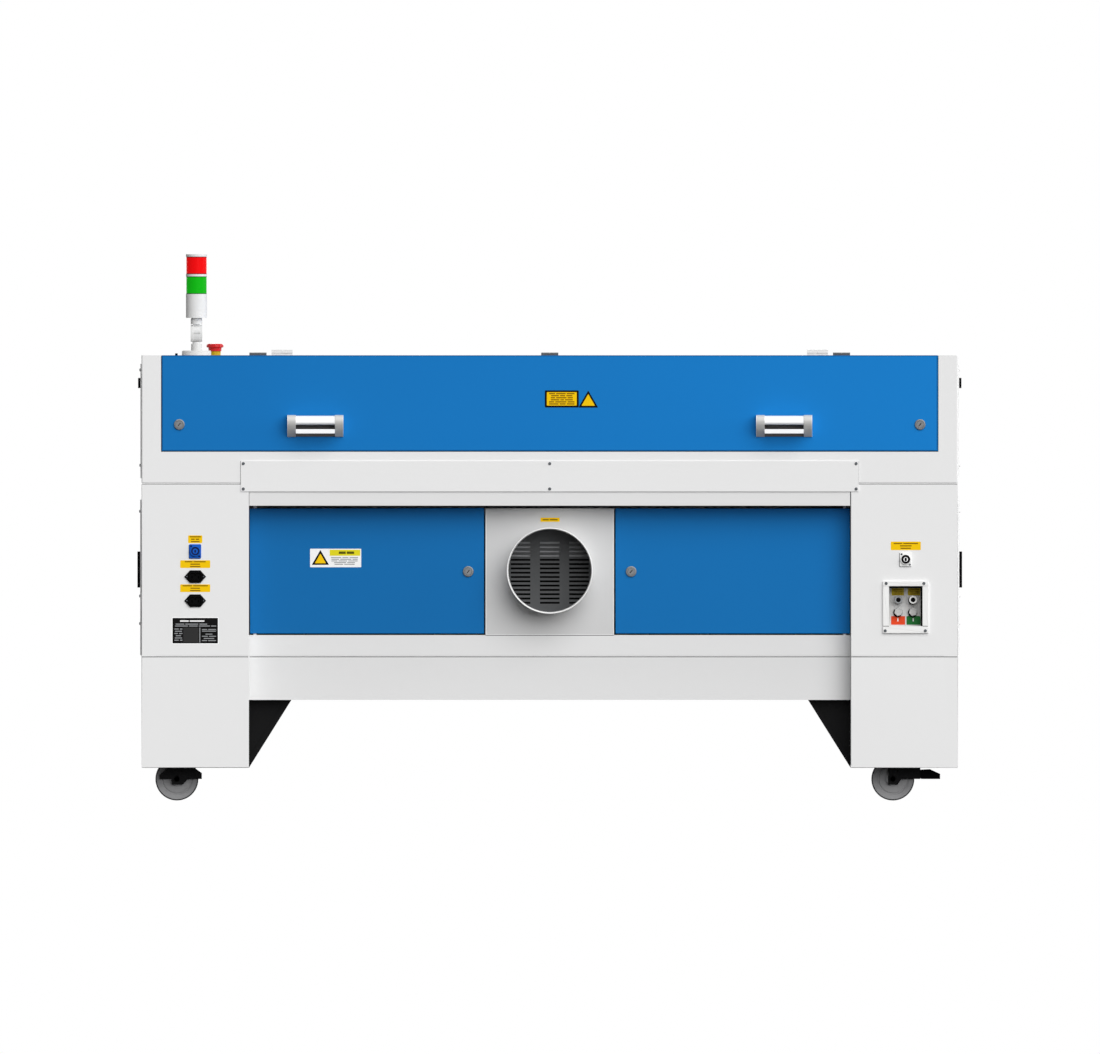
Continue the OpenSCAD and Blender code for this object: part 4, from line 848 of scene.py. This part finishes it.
# the dark strips along the top and the -X side inside the mouth are painted shade for the tray's walls; two
# short ones mark the joints at the frame's lower corners
bm = bmesh.new()
shade_strip_y = (half_y - 9, half_y - 1)
push_block(bm, mouth_x, shade_strip_y, (mouth_z[1] - 4.6, mouth_z[1]))
push_block(bm, (mouth_x[0], mouth_x[0] + 4.4), shade_strip_y, mouth_z)
for x in ((frame_x[0] + 1, mouth_x[0]), (mouth_x[1], frame_x[1] - 1)):
    push_block(bm, x, (half_y, tray_high.y + 0.1), (mouth_z[0] - 0.9, mouth_z[0] + 0.3))
fit_piece(bm, "port_tray_shade_and_joints", "black_gap")

# %% Turn the port fittings
tray_x = (tray_low.x + tray_high.x) / 2
port_x = (tray_x + 17, tray_x - 17)
port_z, plug_z, port_shadow_z, plug_shadow_z = 467, 439, 465.6, 437.3
push_in = [(4, 4), (4, 21), (5, 22), (8.6, 22), (9.4, 21), (9.4, 8), (9.6, 7), (9.6, 0), (3, 0), (3, 4)]
plug = [(0, 0), (10.3, 0), (10.3, 15), (9.4, 16.4), (7, 16.4), (6.4, 15.8), (0, 15.8)]


def disc(radius, start, end):
    """The profile of a plain turned disc."""
    return [(0, start), (radius, start), (radius, end), (0, end)]


steel_ring, white_ring, dark, plugs = (bmesh.new() for _ in range(4))
for ring, x in ((steel_ring, port_x[0]), (white_ring, port_x[1])):
    turn_profile(ring, push_in, (x, tray_y, port_z))
for x in port_x:
    turn_profile(dark, disc(5.6, 3, 22.3), (x, tray_y, port_z), steps=24)
    turn_profile(plugs, plug, (x, tray_y, plug_z), steps=6)
    turn_profile(dark, disc(10.6, 0, 5), (x + 1.5, tray_y, plug_shadow_z), steps=32)
turn_profile(dark, disc(9.9, 0, 5), (port_x[1] + 1.3, tray_y, port_shadow_z), steps=32)
fit_piece(steel_ring, "air_socket", "socket_steel", ["port_fittings"])
fit_piece(white_ring, "water_socket", "white_plastic")
fit_piece(dark, "port_painted_shadows", "black_gap")
fit_piece(plugs, "blind_plugs", "plug_plastic")

# %% [markdown]
# ## Casters
# A caster wheel is a grey moulded core with a darker tread bonded round it. One spun profile has the hub,
# the dished web with its moulding groove, and the shoulder. The tread is a second ring with a crowned face.
# Small bolt heads show on the forks where the axle and the brake pins pass.

# %% Turn the wheels and their treads
corners = ("rear_right", "rear_left", "front_right", "front_left")
core_half = [
    (6.05, 18.2), (15, 18.2), (16, 17.2), (16, 12.6), (31.5, 12.6), (33, 11.2), (35, 11.2), (36.5, 13),
    (45.6, 15), (47.4, 15),
]
tread_half = [(46.6, 14.6), (47.6, 15.8), (48.8, 15.6), (49.7, 14.4), (50, 12), (50, 4)]
for corner in corners:
    part = "wheel_" + corner
    low, high = box_mm(part)
    centre = (low + high) / 2
    for name, half, finish in (("core", core_half, "wheel_rubber"), ("tread", tread_half, "tread")):
        bm = bmesh.new()
        turn_profile(bm, half + [(r, -d) for r, d in reversed(half)], centre, steps=72)
        stands_for = [part] if name == "core" else ()
        fit_piece(bm, part + "_" + name, finish, stands_for, body=part)

# %% Put bolt heads on the forks
axle_z, pin_z, fork_half = 50, 67.7, 21.5
nut = [(0, 0), (8.2, 0), (8.2, 2.4), (7.4, 3), (0, 3)]
for corner in corners:
    low, high = box_mm("wheel_" + corner)
    axle_x = (low.x + high.x) / 2
    fork_low, fork_high = box_mm("fork_" + corner)
    bm = bmesh.new()
    for side in (-1, 1):
        face_y = (fork_low.y + fork_high.y) / 2 + fork_half * side
        drive_screw(bm, (axle_x - 11.6, face_y, pin_z), (0, side, 0), 0.7)
        turn_profile(bm, nut, (axle_x, face_y, axle_z), axis=(0, side, 0), steps=6)
    fit_piece(bm, "fork_bolts_" + corner, "black_paint", body="fork_" + corner, crease=20)

# %% [markdown]
# ## Labels
# Labels on such a machine are printed vinyl film, an even colour with a slight gloss. These are plain:
# colour fields, borders and bars, with no words and no signs. Each is a thin plate with rounded corners, and
# each printed layer stands a fraction of a millimetre above the one below, so that no two share a plane.

# %% Mix the label inks
mix_finishes(
    moulded_plastic,
    ("black ink", "black vinyl", "#060606", 0.42, 0.05),
    ("yellow ink", "yellow vinyl", "#f0c206", 0.42, 0.06),
    ("lime ink", "greenish yellow vinyl", "#dcd016", 0.42, 0.15),
    ("ochre ink", "ochre ink", "#82600a", 0.42, 0.05),
    ("olive ink", "olive ink", "#55520c", 0.42, 0.05),
    # the tray's yellow is a darker copy of the yellow vinyl: painted shade for labels deep in the tray
    ("shade_yellow ink", "yellow vinyl in the tray", "#b39c18", 0.42, 0.15),
    ("white ink", "white vinyl", "#f0f0f0", 0.42, 0.15),
    ("bright ink", "bright white vinyl", "#fbfbfb", 0.42, 0.15),
    ("grey ink", "grey ink", "#8d8f91", 0.42, 0.15),
    ("slate ink", "slate ink", "#2e2e2e", 0.42, 0.05),
    ("red ink", "red vinyl", "#d8431a", 0.42, 0.15),
    ("green ink", "green vinyl", "#0f6b2a", 0.42, 0.15),
)

# %% Draw label fields, bars and triangles
FILM_MM, LAYER_MM = 0.1, 0.12
sheets = {}


def field(wall, ink, layer, centre, size, corner=0.0):
    """Lay one colour field on a wall. Layer 0 lies on the wall, and each next one on the last."""
    body, y = wall
    bm = sheets.setdefault((body, ink), bmesh.new())
    x, z = (about(middle, whole / 2) for middle, whole in zip(centre, size))
    push_block(bm, x, (y, y + FILM_MM + layer * LAYER_MM), z, corner)


def bars(wall, ink, layer, centre, rows, pitch, height, space=2.6):
    """Plain bars where a real label has its lines: each row lists its bars' widths from the left."""
    x, z = centre
    for row, widths in enumerate(rows):
        row_z = z + ((len(rows) - 1) / 2 - row) * pitch
        left = x + (sum(widths) + space * (len(widths) - 1)) / 2
        for width in widths:
            field(wall, ink, layer, (left - width / 2, row_z), (width, height))
            left -= width + space


def triangle(wall, ink, layer, centre, side):
    """A plain triangle with rounded corners, point up."""
    body, y = wall
    bm = sheets.setdefault((body, ink), bmesh.new())
    x, z = centre
    rise = side * 0.866
    outline = [(x - side / 2, y, z), (x + side / 2, y, z), (x, y, z + rise)]
    push_outline(bm, outline, (0, FILM_MM + layer * LAYER_MM, 0), corner=side * 0.04)


# %% Lay the labels on the cover and the door
cover, door = ("rear_cover", half_y), ("rear_door_right", recess_y)
wall, panel, tray = (("housing", y) for y in (half_y, recess_y, tray_y))
field(cover, "black", 0, (-28, 934.4), (79, 39.8), corner=2.5)
field(cover, "yellow", 1, (-28, 934.6), (69.6, 31.2), corner=1.5)
laser_rows = ((14, 22, 18), (18, 12, 14), (10, 24, 12), (20, 8, 18), (12, 26, 16), (22, 14, 18))
bars(cover, "ochre", 2, (-28, 934.8), laser_rows, 4.8, 2.8)
triangle(cover, "black", 0, (-89.6, 914.2), 46)
triangle(cover, "yellow", 1, (-89.6, 918.6), 31.5)
field(door, "white", 0, (498.2, 564.3), (119, 43), corner=1.5)
triangle(door, "black", 1, (533.7, 548.4), 40)
triangle(door, "yellow", 2, (533.7, 552), 26)
field(door, "lime", 1, (476.5, 576.5), (71, 14))
bars(door, "olive", 2, (473, 576.6), ((16, 17),), 5, 5.6)
door_rows = ((24, 14, 20), (18, 26, 12), (14, 20, 22), (28, 18), (20, 24))
bars(door, "grey", 1, (477.5, 557.4), door_rows, 3.9, 2)

# %% Lay the labels on the pedestals and the exhaust panel
for x, z, width, height, rows in (
    (right_x, 608, 33, 18, ((26,), (8, 8), (20,))),
    (right_x, 550, 70, 18, ((18, 28), (22,), (24,))),
    (right_x, 494, 70, 18, ((22, 34), (22,), (24,))),
    (-828.5, 592.5, 70, 20, ((20, 34), (27,), (24,))),
):
    field(wall, "yellow", 0, (x, z), (width, height), corner=2.2)
    bars(wall, "ochre", 1, (x, z), rows, 5.6, 2.6)
field(panel, "yellow", 0, (-0.8, 653.4), (44.7, 9.6), corner=0.6)
bars(panel, "ochre", 1, (-0.8, 653.4), ((14, 18),), 5, 2.8)

# %% Lay the rating plate
plate = (right_x, 395.2)
field(wall, "bright", 0, plate, (109.4, 63), corner=3)
field(wall, "black", 1, plate, (105.6, 59.2), corner=1.5)
field(wall, "slate", 2, (835, 385), (35.4, 35))
field(wall, "grey", 2, (814.2, 385), (2, 35))
for ink, centre, rows, pitch, height in (
    ("white", (832, 417.6), ((20, 34),), 5, 3.2),
    ("grey", (834, 410.4), ((20, 30, 18),), 5, 2.2),
    ("grey", (824, 406), ((30, 20, 26, 12),), 5, 2.2),
    ("grey", (864, 386), ((10, 6), (16,), (8, 8), (12,), (17,), (10, 6)), 5.2, 2.2),
    ("grey", (793, 396), ((12, 18), (32,)), 3.8, 2),
    ("grey", (793, 379.6), ((16,), (14, 16), (24,), (12, 18)), 5, 2),
):
    bars(wall, ink, 2, centre, rows, pitch, height)

# %% Lay the labels in the port tray
for x in (-809.8, -847.8):
    field(tray, "shade_yellow", 0, (x, 485.4), (29, 16.6))
    bars(tray, "ochre", 1, (x, 485.4), ((22,), (8, 8), (20,)), 4.8, 1.8)
for ink, x in (("red", -810.6), ("green", -846.4)):
    field(tray, ink, 0, (x, 419), (32.5, 20), corner=1)
    field(tray, "white", 1, (x + 0.5, 420.6), (2.6, 7.5))
for (body, ink), bm in sheets.items():
    fit_piece(bm, "labels_" + ink + "_" + body, ink + " ink", body=body)

# %% [markdown]
# ## Tower light
# The tower light stands on a round foot and folds down for transport. Its joint is two rounded cheek plates
# with the column's tongue between them, and a saddle below fills the gap. A thin ring in a darker tone of
# each lens's own colour, at both its ends, is painted shade along its edges. The small rubber stud beside
# it stops the lid.

# %% Mould the tower's foot and its joint
tower_x, tower_y = 822.0, -60.0
hinge_z, cheek_z = 1093.0, 1086.9
cheek_size, tongue_size = (13, 19.6), (12, 12)


def arc(degrees, centre_z, size):
    """Points (y, z) at the given angles on an ellipse under or about the tower's hinge."""
    turns = [math.radians(d) for d in degrees]
    return [(tower_y + size[0] * math.cos(a), centre_z + size[1] * math.sin(a)) for a in turns]


cheek = arc([12 * i for i in range(30)], cheek_z, cheek_size)
saddle = arc([-4 - 172 * i / 16 for i in range(17)], cheek_z, cheek_size)
saddle += arc([218.6 + 102.8 * i / 10 for i in range(11)], hinge_z, tongue_size)
foot = [
    (0, 0), (34, 0), (34, 9.4), (32.4, 11), (12.5, 11), (12.5, 26.2), (11.8, 27), (9.3, 27), (9.3, 31.4),
    (0, 31.4),
]
bm = bmesh.new()
turn_profile(bm, foot, (tower_x, tower_y, deck_z), axis=UP)
for side in (-1, 1):
    push_outline(bm, [(tower_x + side * 8.2, y, z) for y, z in cheek], (side * 5.3, 0, 0), edge=0.4)
push_outline(bm, [(tower_x - 7.8, y, z) for y, z in saddle], (15.6, 0, 0))
fit_piece(bm, "tower_joint", "joint_plastic", ["tower_foot"])

# %% Turn the lid's stop, the stop button's collar and the dark rings at the lenses' ends
bm = bmesh.new()
stud = [(0, 0), (3.1, 0), (3.1, 3.9), (2.4, 4.6), (0, 4.6)]
turn_profile(bm, stud, (868.7, 600, deck_z), axis=UP, steps=20)
fit_piece(bm, "lid_stop", "black_plastic")
base_low, base_high = box_mm("estop_base")
estop_at = ((base_low.x + base_high.x) / 2, (base_low.y + base_high.y) / 2, base_low.z)
bm = bmesh.new()
turn_profile(bm, [(9, 0.5), (13.2, 0.5), (13.2, 9.5), (12.4, 10.6), (9, 10.6)], estop_at, axis=UP)
fit_piece(bm, "estop_collar", "yellow_plastic")
edge_ring = [(23, 0), (23.95, 0), (23.95, 2), (23, 2)]
for part in ("tower_green", "tower_red"):
    low, high = box_mm(part)
    bm = bmesh.new()
    for z in (low.z, high.z - 2):
        turn_profile(bm, edge_ring, (tower_x, tower_y, z), axis=UP)
    fit_piece(bm, part + "_skirt", part + "_skirt", body="tower")

# %% [markdown]
# ## Operator panel
# The panel on the front slope has a glass screen over a dark frame and rows of rubber keys. It is modelled
# flat, as it would lie on a bench, and then one matrix turns it on to the slope and puts it in place.

# %% Build the operator panel
slope_rise, slope_run = 150, 230
slope_foot = (825, -700, 886)
slope_angle = math.atan2(slope_rise, slope_run)
on_slope = Matrix.Translation(slope_foot) @ Matrix.Rotation(slope_angle, 4, "X")


def bench_block(bm, x, y, z, corner, edge):
    """A plate that lies flat, pushed up along Z."""
    outline = [(x[0], y[0], z[0]), (x[1], y[0], z[0]), (x[1], y[1], z[0]), (x[0], y[1], z[0])]
    push_outline(bm, outline, (0, 0, z[1] - z[0]), corner, edge)


screen, keys = bmesh.new(), bmesh.new()
bench_block(screen, about(0, 73), (151, 228), (2.5, 3.4), corner=2, edge=0.3)
for row in range(4):
    for column in range(5):
        x, y = -60 + 30 * column, 50 + 23 * row
        bench_block(keys, about(x, 10), about(y, 7), (4, 6.4), corner=2.5, edge=0.8)
for bm, name, finish in ((screen, "panel_screen", "screen_glass"), (keys, "panel_keys", "key_rubber")):
    bmesh.ops.transform(bm, matrix=on_slope, verts=bm.verts)
    fit_piece(bm, name, finish)

# %% [markdown]
# ## Inside the laser tube
# A sealed laser tube is three glass tubes in one another: the bore where the gas glows, a water jacket, and
# the gas reservoir outside. Metal electrodes and mirror mounts close the ends. All are spun about the axis,
# and show when the rear cover is open.

# %% Turn the bore and the electrodes
tube_low, tube_high = box_mm("laser_tube")
tube_y, tube_z = (tube_low.y + tube_high.y) / 2, 905.0
start_x, end_x = tube_low.x, tube_high.x
length = end_x - start_x


def turn_on_tube(bm, profile, x, side=1, steps=32):
    """Spin a profile about the laser tube's axis, from x towards one side."""
    turn_profile(bm, profile, (x, tube_y, tube_z), axis=(side, 0, 0), steps=steps)


bm = bmesh.new()
for r, short, steps in ((5, 30, 24), (16, 120, 32)):
    glass = [(r, short), (r, length - short), (r + 2, length - short), (r + 2, short)]
    turn_on_tube(bm, glass, start_x, steps=steps)
fit_piece(bm, "tube_bore", "laser_glass")
bm = bmesh.new()
for near, far in ((start_x + 30, start_x + 95), (end_x - 95, end_x - 30)):
    turn_on_tube(bm, [(20, 0), (20, far - near), (22, far - near), (22, 0)], near)
for x, side in ((start_x, 1), (end_x, -1)):
    turn_on_tube(bm, [(0, 5.2), (14, 5.2), (14, 12), (9, 14), (9, 28), (0, 28)], x, side)
fit_piece(bm, "tube_electrodes", "steel")

# %% [markdown]
# ## Light, floor and camera
# The machine stands on a plain pale floor in soft, even daylight. Three wide softboxes stand round it: the
# strongest high behind the rear, a low one to the side and one in front, so that each face has its own tone
# and the recesses have soft shadows. The sky is white where it is seen or mirrored, and dim as a source of
# light, which keeps the shaded sides grey.

# %% Light the sky
scene = bpy.context.scene
scene.view_settings.view_transform = "Standard"
FILL_LIGHT = 0.2


def seen_or_mirrored(tree):
    """1 for rays from the camera, a mirror or a clear body, and 0 for scattered light."""
    path = add_node(tree, "LightPath").outputs
    seen = path["Is Transmission Ray"]
    for ray in ("Is Glossy Ray", "Is Camera Ray"):
        seen = add_node(tree, "Math", {0: path[ray], 1: seen}, operation="MAXIMUM")
    return seen


sky = bpy.data.worlds.new("pale sky")
scene.world = sky
sky.use_nodes = True
tree = sky.node_tree
tree.nodes.clear()
level = add_node(tree, "MapRange", {"Value": seen_or_mirrored(tree), "To Min": FILL_LIGHT, "To Max": 1.0})
dome = add_node(tree, "Background", {"Color": (1, 1, 1, 1), "Strength": level})
add_node(tree, "OutputWorld", {"Surface": dome})
print("sky as a source of light", FILL_LIGHT)


# %% Hang the softboxes
def hang_lamp(name, towards, strength, spread):
    """A wide, even lamp far away: towards points from the machine to the lamp."""
    light = bpy.data.lights.new(name, "SUN")
    light.energy = strength
    light.angle = math.radians(spread)
    lamp = add_object(name, light)
    lamp.rotation_mode = "QUATERNION"
    lamp.rotation_quaternion = Vector(towards).to_track_quat("Z", "Y")
    print("lamp", name, "strength", strength)


hang_lamp("rear_softbox", (-0.33, 0.80, 0.51), 3.3, 64)
hang_lamp("side_softbox", (-0.97, 0.0, 0.24), 1.25, 40)
hang_lamp("front_softbox", (0.0, -0.98, 0.2), 2.1, 60)

# %% Lay the floor
floor_paint, tree, place = new_material("pale floor")
speck = add_node(tree, "TexNoise", {"Vector": place, "Scale": 2.0})
pale = {TONE_A: (0.93, 0.93, 0.93, 1), TONE_B: (0.97, 0.97, 0.97, 1)}
seen = add_node(tree, "Mix", {"Factor": speck} | pale, data_type="RGBA").outputs[TONE_OUT]
dim = {TONE_A: (0.08, 0.08, 0.08, 1), TONE_B: seen}
shown = add_node(tree, "Mix", {"Factor": seen_or_mirrored(tree)} | dim, data_type="RGBA")
matt = add_node(tree, "BsdfDiffuse", {"Color": shown.outputs[TONE_OUT]})
add_node(tree, "OutputMaterial", {"Surface": matt})
bm = bmesh.new()
bmesh.ops.create_grid(bm, x_segments=1, y_segments=1, size=200)
floor_mesh = bpy.data.meshes.new("floor")
bm.to_mesh(floor_mesh)
bm.free()
floor_mesh.materials.append(floor_paint)
floor = add_object("floor", floor_mesh)
print("floor laid")

# %% Set the camera
camera_data = bpy.data.cameras.new("rear view")
camera_data.type = "ORTHO"
camera_data.ortho_scale = 2.5597
camera = add_object("rear_view", camera_data)
camera.location = (-0.0006, 6, 0.6364)
camera.rotation_euler = (math.radians(90), 0, math.radians(180))
scene.camera = camera
print("the camera sees", round(camera_data.ortho_scale, 2), "m across")
